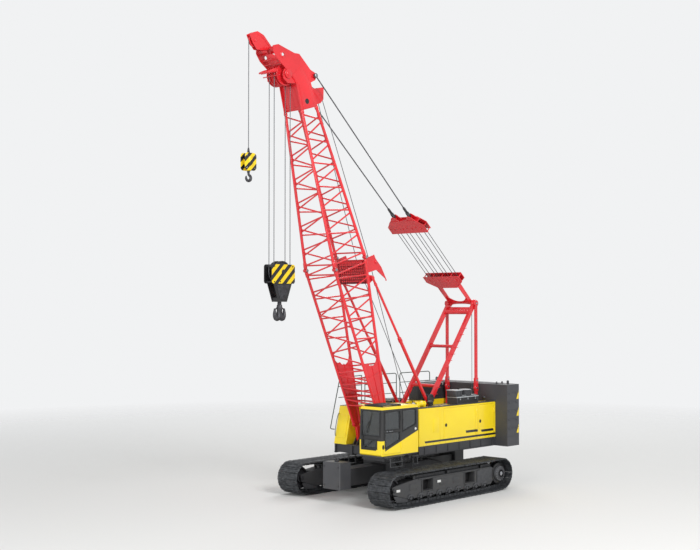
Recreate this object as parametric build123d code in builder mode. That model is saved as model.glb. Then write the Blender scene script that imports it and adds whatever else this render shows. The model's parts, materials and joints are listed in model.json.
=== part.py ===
"""Crawler crane with a lattice boom, built as separate named pieces.

Frame: X forward, Y to the machine's left, Z up, origin on the slewing axis at ground level, in millimetres.
Boom pieces are drawn in the boom's own frame: "along" runs from the foot pin to the head, "back" points to
the boom's rear face, and Y stays the machine's Y.
"""
from build123d import *
import math
import os

# ---------------------------------------------------------------- driving dimensions
RUN = 0.3                  # running gap between round faces that belong together
SEAT = 0.5                 # gap between flat faces that turn or slide on each other
GAP = 8.0                  # gap round doors and other moving pieces

# tracks
TRACK_LENGTH = 7560.0
TRACK_HEIGHT = 1280.0
TRACK_END_RADIUS = 615.0
TRACK_GROUND_LENGTH = 5256.0
TRACK_CENTRE_Y = 2370.0
SHOE_WIDTH = 1060.0
SHOE_THICKNESS = 55.0
SHOE_COUNT = 66
SHOE_GAP = 26.0
CHAIN_WIDTH = 330.0
CHAIN_THICKNESS = 115.0

# track frames and what runs in them
FRAME_WIDTH = 500.0
FRAME_WALL = 60.0
FRAME_BOTTOM = 285.0
FRAME_TOP = 980.0
FRAME_REAR_X = -2650.0
FRAME_FRONT_X = 1850.0
ROLLER_RADIUS = 122.0
ROLLER_COUNT = 9
ROLLER_PITCH = 560.0
CARRIER_RADIUS = 60.0
CARRIER_PLACES = (-2100.0, 0.0, 2000.0)

# carbody
AXLE_X = 1280.0
AXLE_LENGTH_X = 560.0
AXLE_BOTTOM = 500.0
AXLE_HEIGHT = 400.0
AXLE_END_Y = 2350.0
CARBODY_HALF_X = 1040.0
CARBODY_HALF_Y = 1080.0
CARBODY_BOTTOM = 480.0
CARBODY_TOP = 1350.0
ARM_HALF_WIDTH = 330.0
WEIGHT_THICKNESS = 620.0
WEIGHT_WIDTH = 900.0
WEIGHT_HEIGHT = 980.0
WEIGHT_BOTTOM = 520.0
SLEW_OUTER = 900.0
SLEW_INNER = 700.0
SLEW_SPLIT = 1450.0

# deck and houses
DECK_BOTTOM = 1560.0
DECK_TOP = 1950.0
DECK_HALF_WIDTH = 1600.0
DECK_REAR_X = -4390.0
DECK_FRONT_X = 1900.0
GIRDER_Y = 720.0
GIRDER_WIDTH = 150.0
HOUSE_REAR_X = -4380.0
HOUSE_TOP = 3410.0
HOUSE_INNER_Y = 950.0
HOUSE_WALL = 40.0
LEFT_HOUSE_FRONT_X = 550.0
RIGHT_HOUSE_FRONT_X = 1930.0
RIGHT_HOUSE_LEAN = 330.0    # how far its front wall leans back at the top
DOOR_BOTTOM = 2040.0
DOOR_TOP = 3330.0
HINGE_RADIUS = 15.0
HINGE_STANDOFF = 18.0

# cab
CAB_REAR_X = 1000.0
CAB_FRONT_X = 3100.0
CAB_INNER_Y = 865.0
CAB_OUTER_Y = 1935.0
CAB_BOTTOM = 1830.0
CAB_TOP = 3620.0
CAB_WALL = 50.0
GLASS = 8.0

# counterweight
COUNTERWEIGHT_FRONT_X = -4390.0
COUNTERWEIGHT_REAR_X = -5480.0
COUNTERWEIGHT_BULGE = 260.0
COUNTERWEIGHT_HALF_WIDTH = 2200.0
COUNTERWEIGHT_BOTTOM = 1580.0
COUNTERWEIGHT_BASE = 370.0
SLAB_COUNT = 6
SLAB_HEIGHT = 360.0

# gantry (A-frame)
GANTRY_TOP_X = -4170.0
GANTRY_TOP_Z = 7470.0
GANTRY_Y = 665.0
LEG_FOOT_X = -290.0
LEG_FOOT_Z = 2250.0
LEG_WIDTH = 120.0
LEG_DEPTH = 170.0
LINK_Y = 765.0
LINK_THICKNESS = 45.0
GANTRY_PIN = 45.0

# boom
BOOM_ANGLE = 72.4
FOOT_X = 1360.0
FOOT_Z = 2160.0
FOOT_Y = 720.0
JOINT_ALONG = 7110.0
TOP_ALONG = 13000.0
CHORD_RADIUS = 55.0
LACING_RADIUS = 30.0
FOOT_HALF_DEPTH = 100.0
JOINT_HALF_DEPTH = 860.0
JOINT_HALF_WIDTH = 760.0
TOP_FRONT = 430.0
TOP_REAR = 330.0
TOP_HALF_WIDTH = 430.0
PLATE_END = 3370.0
PLATE_HOLLOW = 320.0
BASE_LACING_FROM = 3250.0
BASE_PANELS = 4
FOOT_BRACE_PANELS = 3
TOP_PANELS = 6
KNUCKLE_RADIUS = 72.0
FOOT_PIN = 70.0

# boom head
MAIN_AXLE_ALONG = 14380.0
MAIN_AXLE_BACK = -720.0
MAIN_SHEAVE = 380.0
MAIN_SHEAVE_Y = 130.0
ROPE_RADIUS = 14.0
TIP_AXLE_ALONG = 15760.0
TIP_AXLE_BACK = -1620.0
TIP_SHEAVE = 205.0
ROLLER_ALONG = 13380.0
ROLLER_BACK = 900.0
CHEEK_Y = 440.0
CHEEK = 30.0

# suspension of the boom
PENDANT_Y = 520.0
PENDANT_RADIUS = 24.0
PENDANT_TOP_ALONG = 14090.0
PENDANT_TOP_BACK = 560.0
PENDANT_LOW_Y = 400.0        # the pendants spread from the bridle to the head
BLOCK_REACH = 1550.0
BRIDLE_REACH = 4590.0
BRIDLE_HALF_WIDTH = 950.0
BRIDLE_GAP = 210.0           # between the two plates that hold the sheaves
BRIDLE_PLATE = 20.0
HOIST_SHEAVE = 90.0
HOIST_PIN = 28.0
HOIST_SHEAVE_PLACES = (-705.0, -235.0, 235.0, 705.0)

# backstops
BACKSTOP_Y = 815.0
BACKSTOP_FOOT_X = -1600.0
BACKSTOP_FOOT_Z = 2480.0
BACKSTOP_ALONG = 6250.0
BACKSTOP_BACK = 980.0
BARREL_RADIUS = 66.0
ROD_RADIUS = 48.0
BARREL_LENGTH = 4300.0

# hook blocks
MAIN_BLOCK_Z = 8565.0
MAIN_BLOCK_LENGTH = 1130.0
MAIN_BLOCK_THICKNESS = 420.0
MAIN_HOOK_Z = 7125.0
AUX_BLOCK_TOP = 12700.0
AUX_BLOCK_HEIGHT = 620.0
AUX_HOOK_Z = 11830.0

# ---------------------------------------------------------------- helpers
COS = math.cos(math.radians(BOOM_ANGLE))
SIN = math.sin(math.radians(BOOM_ANGLE))


def side_plane(y):
    """Plane seen from the machine's right: x is forward, y is up."""
    return Plane(origin=(0, y, 0), x_dir=(1, 0, 0), z_dir=(0, -1, 0))


def boom_plane(y):
    """The same view turned to the boom: x is along the boom, y is to its back."""
    return Plane(origin=(FOOT_X, y, FOOT_Z), x_dir=(COS, 0, SIN), z_dir=(0, -1, 0))


def boom_point(along, back, y):
    """A point given in the boom's frame."""
    return Vector(FOOT_X + along * COS - back * SIN, y, FOOT_Z + along * SIN + back * COS)


def bar(start, end, radius):
    """Adds a round bar between two points to the open part."""
    line = end - start
    with BuildSketch(Plane(origin=start, z_dir=line)) as profile:
        Circle(radius)
    extrude(profile.sketch, amount=line.length)


def flat_bar(start, end, width_y, depth):
    """Adds a rectangular bar between two points of one side plane to the open part."""
    line = end - start
    with BuildSketch(Plane(origin=start, x_dir=(0, 1, 0), z_dir=line)) as profile:
        Rectangle(width_y, depth)
    extrude(profile.sketch, amount=line.length)


def block(low, high, mode=Mode.ADD):
    """Adds a box between two corners to the open part."""
    centre = [(a + b) / 2 for a, b in zip(low, high)]
    with Locations(tuple(centre)):
        Box(high[0] - low[0], high[1] - low[1], high[2] - low[2], mode=mode)


def disc(x, z, y_low, y_high, radius, mode=Mode.ADD):
    """Adds a round disc on an axis along Y to the open part."""
    with BuildSketch(side_plane(y_high)) as profile:
        with Locations((x, z)):
            Circle(radius)
    extrude(profile.sketch, amount=y_high - y_low, mode=mode)


def save(builder, name):
    """Labels a finished piece and writes its STEP file."""
    builder.part.label = name
    export_step(builder.part, "parts/" + name + ".step")


os.makedirs("parts", exist_ok=True)
SIDES = (("left", 1), ("right", -1))
END_X = TRACK_LENGTH / 2 - TRACK_END_RADIUS
END_Z = TRACK_HEIGHT - TRACK_END_RADIUS
CHAIN_INNER = TRACK_END_RADIUS - SHOE_THICKNESS - CHAIN_THICKNESS

# ---------------------------------------------------------------- tracks
with BuildSketch(side_plane(0)) as track_outline:
    with Locations((END_X, END_Z), (-END_X, END_Z)):
        Circle(TRACK_END_RADIUS)
    with Locations((0, 5)):
        Rectangle(TRACK_GROUND_LENGTH, 10)
    make_hull()
outline_face = track_outline.sketch.faces()[0]
outline_wire = outline_face.outer_wire()
SHOE_PITCH = outline_wire.length / SHOE_COUNT

# the first shoe lies flat under the middle, so that the turn up at each end falls between two shoes
middle_share = outline_wire.param_at_point(Vector(0, 0, 0))
shoe_places = []
for i in range(SHOE_COUNT):
    share = (middle_share + i / SHOE_COUNT) % 1
    place = outline_wire.position_at(share)
    heading = outline_wire.tangent_at(share)
    inward = Vector(0, -1, 0).cross(heading)
    if (Vector(0, 0, TRACK_HEIGHT / 2) - place).dot(inward) < 0:
        inward = inward * -1
    centre = place + inward * (SHOE_THICKNESS / 2 + 1)
    shoe_places.append(Plane(origin=(centre.X, TRACK_CENTRE_Y, centre.Z), x_dir=heading, z_dir=inward))

with BuildPart() as left_track:
    with BuildSketch(side_plane(TRACK_CENTRE_Y)):
        add(track_outline.sketch_local)
        offset(amount=-SHOE_THICKNESS, kind=Kind.INTERSECTION, mode=Mode.REPLACE)
        offset(amount=-CHAIN_THICKNESS, kind=Kind.INTERSECTION, mode=Mode.SUBTRACT)
    extrude(amount=CHAIN_WIDTH / 2, both=True)
    with Locations(*shoe_places):
        Box(SHOE_PITCH - SHOE_GAP, SHOE_WIDTH, SHOE_THICKNESS + 2)
save(left_track, "track_left")

with BuildPart() as right_track:
    mirror(left_track.part, about=Plane.XZ)
save(right_track, "track_right")

# ---------------------------------------------------------------- track frames
frame_low_y = TRACK_CENTRE_Y - FRAME_WIDTH / 2
frame_high_y = TRACK_CENTRE_Y + FRAME_WIDTH / 2
roller_z = SHOE_THICKNESS + CHAIN_THICKNESS + ROLLER_RADIUS + RUN
carrier_z = TRACK_HEIGHT - SHOE_THICKNESS - CHAIN_THICKNESS - CARRIER_RADIUS - RUN
roller_places = [(i - (ROLLER_COUNT - 1) / 2) * ROLLER_PITCH for i in range(ROLLER_COUNT)]
ROLLER_PIN = 38.0
CARRIER_PIN = 22.0
IDLER_PIN = 75.0

with BuildPart() as left_frame:
    with BuildSketch(side_plane(frame_high_y)):
        with BuildLine():
            Polyline((FRAME_REAR_X - 260, 520), (FRAME_REAR_X, FRAME_BOTTOM), (FRAME_FRONT_X + 500, FRAME_BOTTOM),
                     (END_X + 40, 520), (END_X + 110, END_Z + 120), (END_X - 140, END_Z + 170),
                     (FRAME_FRONT_X, FRAME_TOP), (FRAME_REAR_X, FRAME_TOP), (FRAME_REAR_X - 260, 860),
                     close=True)
        make_face()
    extrude(amount=FRAME_WIDTH)
    # channel for the rollers, and the yoke that the idler stands in
    block((FRAME_REAR_X - 300, frame_low_y + FRAME_WALL, 0),
          (END_X + 200, frame_high_y - FRAME_WALL, roller_z + ROLLER_RADIUS + 25), mode=Mode.SUBTRACT)
    for low_x, high_x in ((END_X - CHAIN_INNER - 40, END_X + 300), (-END_X - 300, -END_X + CHAIN_INNER + 40)):
        block((low_x, frame_low_y + FRAME_WALL, 0), (high_x, frame_high_y - FRAME_WALL, FRAME_TOP + 20),
              mode=Mode.SUBTRACT)
    # roller seats
    for x in roller_places:
        disc(x, roller_z, frame_low_y - 1, frame_high_y + 1, ROLLER_PIN + RUN, mode=Mode.SUBTRACT)
    disc(END_X, END_Z, frame_low_y - 1, frame_high_y + 1, IDLER_PIN + RUN, mode=Mode.SUBTRACT)
    # sockets for the axle beams
    for x in (AXLE_X, -AXLE_X):
        block((x - AXLE_LENGTH_X / 2 - SEAT, frame_low_y - 1, AXLE_BOTTOM - SEAT),
              (x + AXLE_LENGTH_X / 2 + SEAT, frame_high_y + 1, AXLE_BOTTOM + AXLE_HEIGHT + 1), mode=Mode.SUBTRACT)
    # carrier roller brackets
    for x in CARRIER_PLACES:
        for y in (frame_low_y + 30, frame_high_y - 70):
            block((x - 55, y, FRAME_TOP - 160), (x + 55, y + 40, carrier_z + 40))
            disc(x, carrier_z, y - 1, y + 41, CARRIER_PIN + RUN, mode=Mode.SUBTRACT)
save(left_frame, "track_frame_left")

with BuildPart() as right_frame:
    mirror(left_frame.part, about=Plane.XZ)
save(right_frame, "track_frame_right")

with BuildPart() as track_rollers:
    for x in roller_places:
        for sign in (1, -1):
            middle = sign * TRACK_CENTRE_Y
            reach = FRAME_WIDTH / 2 - FRAME_WALL - 10
            disc(x, roller_z, middle - reach, middle + reach, ROLLER_RADIUS)
            disc(x, roller_z, middle - FRAME_WIDTH / 2 - 12, middle + FRAME_WIDTH / 2 + 12, ROLLER_PIN)
save(track_rollers, "track_rollers")

with BuildPart() as carrier_rollers:
    for x in CARRIER_PLACES:
        for sign in (1, -1):
            middle = sign * TRACK_CENTRE_Y
            disc(x, carrier_z, middle - 150, middle + 150, CARRIER_RADIUS)
            disc(x, carrier_z, middle - 225, middle + 225, CARRIER_PIN)
save(carrier_rollers, "carrier_rollers")

with BuildPart() as idlers:
    for sign in (1, -1):
        middle = sign * TRACK_CENTRE_Y
        disc(END_X, END_Z, middle - 150, middle + 150, CHAIN_INNER - RUN)
        disc(END_X, END_Z, middle - FRAME_WIDTH / 2 - 25, middle + FRAME_WIDTH / 2 + 25, IDLER_PIN)
save(idlers, "idlers")

TOOTH_COUNT = 18
with BuildPart() as sprockets:
    for sign in (1, -1):
        middle = sign * TRACK_CENTRE_Y
        with BuildSketch(side_plane(middle)):
            with Locations((-END_X, END_Z)):
                Circle(CHAIN_INNER - 45)
                with PolarLocations(0, TOOTH_COUNT):
                    with Locations((CHAIN_INNER - 32, 0)):
                        Rectangle(60, 62)
        extrude(amount=90, both=True)
        disc(-END_X, END_Z, middle - 190, middle + 190, 300)
save(sprockets, "sprockets")

# the final drive is bolted to the rear of each frame and carries the sprocket
with BuildPart() as final_drives:
    for sign in (1, -1):
        for inner, outer, radius in ((190 + SEAT, 330, 240), (330, 400, 180)):
            near = sign * (TRACK_CENTRE_Y + inner)
            far = sign * (TRACK_CENTRE_Y + outer)
            disc(-END_X, END_Z, min(near, far), max(near, far), radius)
            near = sign * (TRACK_CENTRE_Y - inner)
            far = sign * (TRACK_CENTRE_Y - outer)
            disc(-END_X, END_Z, min(near, far), max(near, far), radius)
        for y in (TRACK_CENTRE_Y + 205, TRACK_CENTRE_Y - 205 - 45):
            low = min(sign * y, sign * (y + 45))
            block((-END_X - 200, low, END_Z - 190), (FRAME_REAR_X - 260, low + 45, END_Z + 190))
save(final_drives, "final_drives")

# ---------------------------------------------------------------- carbody
with BuildPart() as carbody:
    block((-CARBODY_HALF_X, -CARBODY_HALF_Y, CARBODY_BOTTOM), (CARBODY_HALF_X, CARBODY_HALF_Y, CARBODY_TOP - 60))
    chamfer(carbody.edges().filter_by(Axis.Z), 260)
    with Locations((0, 0, CARBODY_TOP - 40)):
        Cylinder(SLEW_OUTER + 40, 80)
    for x in (AXLE_X, -AXLE_X):
        block((x - AXLE_LENGTH_X / 2, -AXLE_END_Y, AXLE_BOTTOM),
              (x + AXLE_LENGTH_X / 2, AXLE_END_Y, AXLE_BOTTOM + AXLE_HEIGHT))
    arm_end = TRACK_LENGTH / 2 - 40 - WEIGHT_THICKNESS
    block((-arm_end, -ARM_HALF_WIDTH, CARBODY_BOTTOM + 120), (arm_end, ARM_HALF_WIDTH, CARBODY_TOP - 120))
    with Locations((0, 0, CARBODY_TOP)):
        Cylinder(SLEW_INNER - 60, 900, mode=Mode.SUBTRACT)
save(carbody, "carbody")

with BuildPart() as carbody_weights:
    for sign in (1, -1):
        with Locations((sign * (arm_end + WEIGHT_THICKNESS / 2), 0, WEIGHT_BOTTOM + WEIGHT_HEIGHT / 2)):
            Box(WEIGHT_THICKNESS, WEIGHT_WIDTH, WEIGHT_HEIGHT)
    chamfer(carbody_weights.edges().filter_by(Axis.Z), 30)
save(carbody_weights, "carbody_weights")

with BuildPart() as slew_ring:
    with BuildSketch(Plane.XY.offset(CARBODY_TOP)):
        Circle(SLEW_OUTER)
        Circle(SLEW_INNER, mode=Mode.SUBTRACT)
    extrude(amount=SLEW_SPLIT - CARBODY_TOP)
save(slew_ring, "slew_ring")

# ---------------------------------------------------------------- deck
LUG = 40.0
CROSS_BEAMS = (-4290.0, -3300.0, -2300.0, -1300.0, -300.0, 750.0, 1800.0)
with BuildPart() as deck:
    with BuildSketch(Plane.XY.offset(SLEW_SPLIT + SEAT)):
        Circle(SLEW_OUTER - 20)
        Circle(SLEW_INNER, mode=Mode.SUBTRACT)
    extrude(amount=DECK_BOTTOM - SLEW_SPLIT - SEAT + 30)
    # top plate, main girders, edge beams and cross beams
    block((DECK_REAR_X, -DECK_HALF_WIDTH, DECK_TOP - 30), (LEFT_HOUSE_FRONT_X, DECK_HALF_WIDTH, DECK_TOP))
    block((LEFT_HOUSE_FRONT_X - 1, -DECK_HALF_WIDTH, DECK_TOP - 30), (DECK_FRONT_X, HOUSE_INNER_Y - 100, DECK_TOP))
    for y in (GIRDER_Y, -GIRDER_Y):
        block((DECK_REAR_X, y - GIRDER_WIDTH / 2, DECK_BOTTOM), (DECK_FRONT_X, y + GIRDER_WIDTH / 2, DECK_TOP - 20))
    block((-900, -900, DECK_BOTTOM), (900, 900, DECK_BOTTOM + 60))
    for x in CROSS_BEAMS:
        left_end = DECK_HALF_WIDTH if x < LEFT_HOUSE_FRONT_X else HOUSE_INNER_Y - 100
        block((x - 50, -DECK_HALF_WIDTH, DECK_BOTTOM + 60), (x + 50, left_end, DECK_TOP - 20))
    block((DECK_REAR_X, DECK_HALF_WIDTH - 60, DECK_BOTTOM + 30), (LEFT_HOUSE_FRONT_X, DECK_HALF_WIDTH, DECK_TOP))
    block((DECK_REAR_X, -DECK_HALF_WIDTH, DECK_BOTTOM + 30), (DECK_FRONT_X, -DECK_HALF_WIDTH + 60, DECK_TOP))
    # two arms that carry the cab
    for x in (1250.0, 2650.0):
        block((x - 60, GIRDER_Y - 60, DECK_BOTTOM + 40), (x + 60, CAB_OUTER_Y - 200, CAB_BOTTOM - 20))
        for y in (CAB_INNER_Y + 120, CAB_OUTER_Y - 280):
            with Locations((x, y, CAB_BOTTOM - 10)):
                Cylinder(50, 20)
    block((DECK_FRONT_X - 1, GIRDER_Y - 75, DECK_BOTTOM + 40), (2710, GIRDER_Y + 75, CAB_BOTTOM - 20))
    # lugs and pins for the boom foot
    for y in (FOOT_Y, -FOOT_Y):
        for gap_side in (1, -1):
            with BuildSketch(side_plane(y + gap_side * (65 + LUG / 2))):
                with BuildLine():
                    Polyline((FOOT_X - 420, DECK_TOP - 10), (FOOT_X - 120, FOOT_Z + 90), (FOOT_X, FOOT_Z + 130),
                             (FOOT_X + 120, FOOT_Z + 90), (FOOT_X + 330, DECK_TOP - 10), close=True)
                make_face()
            extrude(amount=LUG / 2, both=True)
        disc(FOOT_X, FOOT_Z, y - 65 - LUG - 15, y + 65 + LUG + 15, FOOT_PIN)
    # lugs and pins for the gantry's front legs, its rear links and the backstops
    for sign in (1, -1):
        for y in (GANTRY_Y - LEG_WIDTH / 2 - 30, GANTRY_Y + LEG_WIDTH / 2 + 4):
            low = min(sign * y, sign * (y + 26))
            block((LEG_FOOT_X - 90, low, DECK_TOP - 10), (LEG_FOOT_X + 90, low + 26, LEG_FOOT_Z + 80))
        for y in (LINK_Y - LINK_THICKNESS / 2 - 30, LINK_Y + LINK_THICKNESS / 2 + 4):
            low = min(sign * y, sign * (y + 26))
            block((GANTRY_TOP_X - 100, low, DECK_TOP - 10), (GANTRY_TOP_X + 100, low + 26, LEG_FOOT_Z + 80))
        for y in (BACKSTOP_Y - BARREL_RADIUS - 35, BACKSTOP_Y + BARREL_RADIUS + 9):
            low = min(sign * y, sign * (y + 26))
            block((BACKSTOP_FOOT_X - 80, low, DECK_TOP - 10), (BACKSTOP_FOOT_X + 80, low + 26, BACKSTOP_FOOT_Z + 70))
        disc(LEG_FOOT_X, LEG_FOOT_Z, sign * GANTRY_Y - LEG_WIDTH / 2 - 20, sign * GANTRY_Y + LEG_WIDTH / 2 + 20,
             GANTRY_PIN)
        disc(GANTRY_TOP_X, LEG_FOOT_Z, sign * LINK_Y - 45, sign * LINK_Y + 45, GANTRY_PIN)
        reach = BARREL_RADIUS + 40
        disc(BACKSTOP_FOOT_X, BACKSTOP_FOOT_Z, sign * BACKSTOP_Y - reach, sign * BACKSTOP_Y + reach, 34)
save(deck, "deck")

# ---------------------------------------------------------------- houses and their doors
# name, side, front end and rear end of the opening (the door hangs at its rear edge)
HOUSE_DOORS = (
    ("left_door_middle", 1, -970.0, -3060.0),
    ("left_door_rear", 1, -3200.0, -4270.0),
    ("right_door_middle", -1, 250.0, -1650.0),
    ("right_door_rear", -1, -1900.0, -3900.0),
)


def hinge_piece(x, sign, low, high, toward):
    """Adds a hinge barrel and its leaf to the open part; toward is +1 for the leaf that reaches forward."""
    axis_y = sign * (DECK_HALF_WIDTH + HINGE_STANDOFF)
    with Locations((x, axis_y, (low + high) / 2)):
        Cylinder(HINGE_RADIUS, high - low)
    near = sign * DECK_HALF_WIDTH
    far = sign * (DECK_HALF_WIDTH + 12)
    x_low, x_high = sorted((x, x + toward * 90))
    block((x_low, min(near, far), low), (x_high, max(near, far), high))


HINGE_HEIGHTS = (DOOR_BOTTOM + 200.0, DOOR_TOP - 300.0)
HINGE_LENGTH = 70.0


def house_outline(front_x, lean, inset, bottom):
    """Adds a house's side outline, shrunk by inset, to the open sketch; lean sets its front top edge back."""
    with BuildLine() as outline:
        Polyline((HOUSE_REAR_X + inset, bottom), (front_x - inset, bottom),
                 (front_x - lean - inset, HOUSE_TOP - inset), (HOUSE_REAR_X + inset, HOUSE_TOP - inset), close=True)
    make_face(outline.edges())


def house_shell(sign, front_x, lean):
    """Adds one machinery house, open below, with its door openings, to the open part."""
    low_y, high_y = sorted((sign * HOUSE_INNER_Y, sign * DECK_HALF_WIDTH))
    with BuildSketch(side_plane(high_y)) as profile:
        house_outline(front_x, lean, 0, DECK_TOP)
    extrude(profile.sketch, amount=high_y - low_y)
    top_edge = edges().filter_by(Axis.X).sort_by(Axis.Z)[-2:].sort_by(Axis.Y)
    fillet(top_edge[-1] if sign > 0 else top_edge[0], 60)
    with BuildSketch(side_plane(high_y - HOUSE_WALL)) as profile:
        house_outline(front_x, lean, HOUSE_WALL, DECK_TOP - 1)
    extrude(profile.sketch, amount=high_y - low_y - 2 * HOUSE_WALL, mode=Mode.SUBTRACT)
    for name, door_sign, door_front, door_rear in HOUSE_DOORS:
        if door_sign == sign:
            wall_low, wall_high = sorted((sign * (DECK_HALF_WIDTH - HOUSE_WALL - 5), sign * (DECK_HALF_WIDTH + 5)))
            block((door_rear, wall_low, DOOR_BOTTOM), (door_front, wall_high, DOOR_TOP), mode=Mode.SUBTRACT)
            for height in HINGE_HEIGHTS:
                for low in (height - HINGE_LENGTH - SEAT, height + HINGE_LENGTH + SEAT):
                    hinge_piece(door_rear, sign, low, low + HINGE_LENGTH, -1)


for side, sign in SIDES:
    with BuildPart() as house:
        if sign > 0:
            house_shell(sign, LEFT_HOUSE_FRONT_X, 0)
        else:
            house_shell(sign, RIGHT_HOUSE_FRONT_X, RIGHT_HOUSE_LEAN)
    save(house, side + "_house")

for name, sign, door_front, door_rear in HOUSE_DOORS:
    with BuildPart() as door:
        inner, outer = sorted((sign * (DECK_HALF_WIDTH - 36), sign * DECK_HALF_WIDTH))
        block((door_rear + GAP, inner, DOOR_BOTTOM + GAP), (door_front - GAP, outer, DOOR_TOP - GAP))
        for height in HINGE_HEIGHTS:
            hinge_piece(door_rear, sign, height, height + HINGE_LENGTH, 1)
    save(door, name)

with BuildPart() as engine:
    block((-4200, HOUSE_INNER_Y + 60, DECK_TOP), (-2500, DECK_HALF_WIDTH - 70, HOUSE_TOP - 360))
save(engine, "engine")

# name, rear end, front end, right side, left side and height of the housings on the roofs
ROOF_UNITS = (
    ("air_intake", -4300.0, -2450.0, -1460.0, -970.0, 740.0),
    ("radiator_top", -3350.0, -1950.0, 990.0, 1500.0, 330.0),
    ("tank_top", -1500.0, -700.0, -1450.0, -1000.0, 160.0),
)
with BuildPart() as roof_units:
    for name, rear, front, right, left, height in ROOF_UNITS:
        block((rear, right, HOUSE_TOP), (front, left, HOUSE_TOP + height))
        top_face = roof_units.faces().filter_by(Plane.XY).sort_by(lambda face: abs(face.center().Z - HOUSE_TOP - height))
        chamfer(top_face[0].edges(), 30)
save(roof_units, "roof_units")

# ---------------------------------------------------------------- winches
# name, X of the axis, Z of the axis, drum radius, flange radius
WINCHES = (
    ("front", -620.0, 2560.0, 270.0, 390.0),
    ("middle", -1900.0, 2560.0, 270.0, 390.0),
    ("boom_hoist", -3150.0, 2520.0, 230.0, 340.0),
)
WINCH_HALF_WIDTH = 470.0
WINCH_PLATE = 40.0
with BuildPart() as winch_drums:
    for name, x, z, drum, flange in WINCHES:
        disc(x, z, -WINCH_HALF_WIDTH, WINCH_HALF_WIDTH, drum)
        disc(x, z, -WINCH_HALF_WIDTH, -WINCH_HALF_WIDTH + 30, flange)
        disc(x, z, WINCH_HALF_WIDTH - 30, WINCH_HALF_WIDTH, flange)
save(winch_drums, "winch_drums")

with BuildPart() as winch_frames:
    for name, x, z, drum, flange in WINCHES:
        for sign in (1, -1):
            middle = sign * (WINCH_HALF_WIDTH + SEAT + WINCH_PLATE / 2)
            with BuildSketch(side_plane(middle)):
                with BuildLine():
                    Polyline((x - 300, DECK_TOP), (x - 190, z + 120), (x + 190, z + 120), (x + 300, DECK_TOP), close=True)
                make_face()
            extrude(amount=WINCH_PLATE / 2, both=True)
save(winch_frames, "winch_frames")

# ---------------------------------------------------------------- cab
DOOR_REAR_X = 1990.0
DOOR_FRONT_X = 2970.0
CAB_DOOR_BOTTOM = CAB_BOTTOM + 60.0
CAB_DOOR_TOP = CAB_TOP - 110.0


def cab_outline(inset):
    """Adds the cab's side outline, shrunk by inset, to the open sketch."""
    with BuildLine() as outline:
        Polyline((CAB_REAR_X, CAB_BOTTOM), (CAB_FRONT_X - 50, CAB_BOTTOM), (CAB_FRONT_X, CAB_BOTTOM + 50),
                 (CAB_FRONT_X, CAB_BOTTOM + 600), (CAB_FRONT_X - 40, CAB_TOP - 90), (CAB_FRONT_X - 110, CAB_TOP),
                 (CAB_REAR_X, CAB_TOP), close=True)
    make_face(outline.edges())
    if inset:
        offset(amount=-inset, kind=Kind.INTERSECTION, mode=Mode.REPLACE)


def pane(points, y, thickness, inset, mode=Mode.ADD):
    """Adds or cuts a flat pane with an outline of side view points, centred on a side plane."""
    with BuildSketch(side_plane(y)) as profile:
        with BuildLine() as outline:
            Polyline(*points, close=True)
        make_face(outline.edges())
        if inset:
            offset(amount=-inset, kind=Kind.INTERSECTION, mode=Mode.REPLACE)
    extrude(profile.sketch, amount=thickness / 2, both=True, mode=mode)


# windows in the side walls and in the door: name, middle Y of the pane, side view outline
SIDE_PANES = (
    ("rear_side", CAB_OUTER_Y - 24, ((1130, 2890), (1130, 3470), (1890, 3470), (1890, 2670))),
    ("inner_side", CAB_INNER_Y + 24, ((1500, 2450), (1500, 3440), (2850, 3440), (2850, 2450))),
)
DOOR_PANES = (
    ("upper", CAB_OUTER_Y - 24, ((2060, 2770), (2060, 3450), (2890, 3450), (2890, 2770))),
    ("lower", CAB_OUTER_Y - 24, ((2060, 2370), (2060, 2690), (2890, 2690), (2890, 2120), (2800, 2120))),
)
# windows in the other walls: name, axis across the pane, middle of the pane, low corner, high corner of the hole
WINDOWS = (
    ("windshield", 0, CAB_FRONT_X - 48, (CAB_FRONT_X - 130, 950, 2550), (CAB_FRONT_X + 20, 1850, 3480)),
    ("lower_front", 0, CAB_FRONT_X - 48, (CAB_FRONT_X - 130, 980, 2090), (CAB_FRONT_X + 20, 1720, 2450)),
    ("rear", 0, CAB_REAR_X + 24, (CAB_REAR_X - 10, CAB_INNER_Y + 150, 2700), (CAB_REAR_X + 60, CAB_OUTER_Y - 150, 3400)),
    ("roof", 2, CAB_TOP - 24, (2000, CAB_INNER_Y + 200, CAB_TOP - 60), (2800, CAB_OUTER_Y - 200, CAB_TOP + 10)),
)
CAB_HINGE_Y = CAB_OUTER_Y + HINGE_STANDOFF
CAB_HINGES = (CAB_DOOR_BOTTOM + 250.0, CAB_DOOR_TOP - 350.0)


def cab_hinge(low, toward):
    """Adds a cab hinge barrel and its leaf to the open part."""
    with Locations((DOOR_REAR_X, CAB_HINGE_Y, low + HINGE_LENGTH / 2)):
        Cylinder(HINGE_RADIUS, HINGE_LENGTH)
    x_low, x_high = sorted((DOOR_REAR_X, DOOR_REAR_X + toward * 60))
    block((x_low, CAB_OUTER_Y, low), (x_high, CAB_OUTER_Y + 12, low + HINGE_LENGTH))


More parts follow.
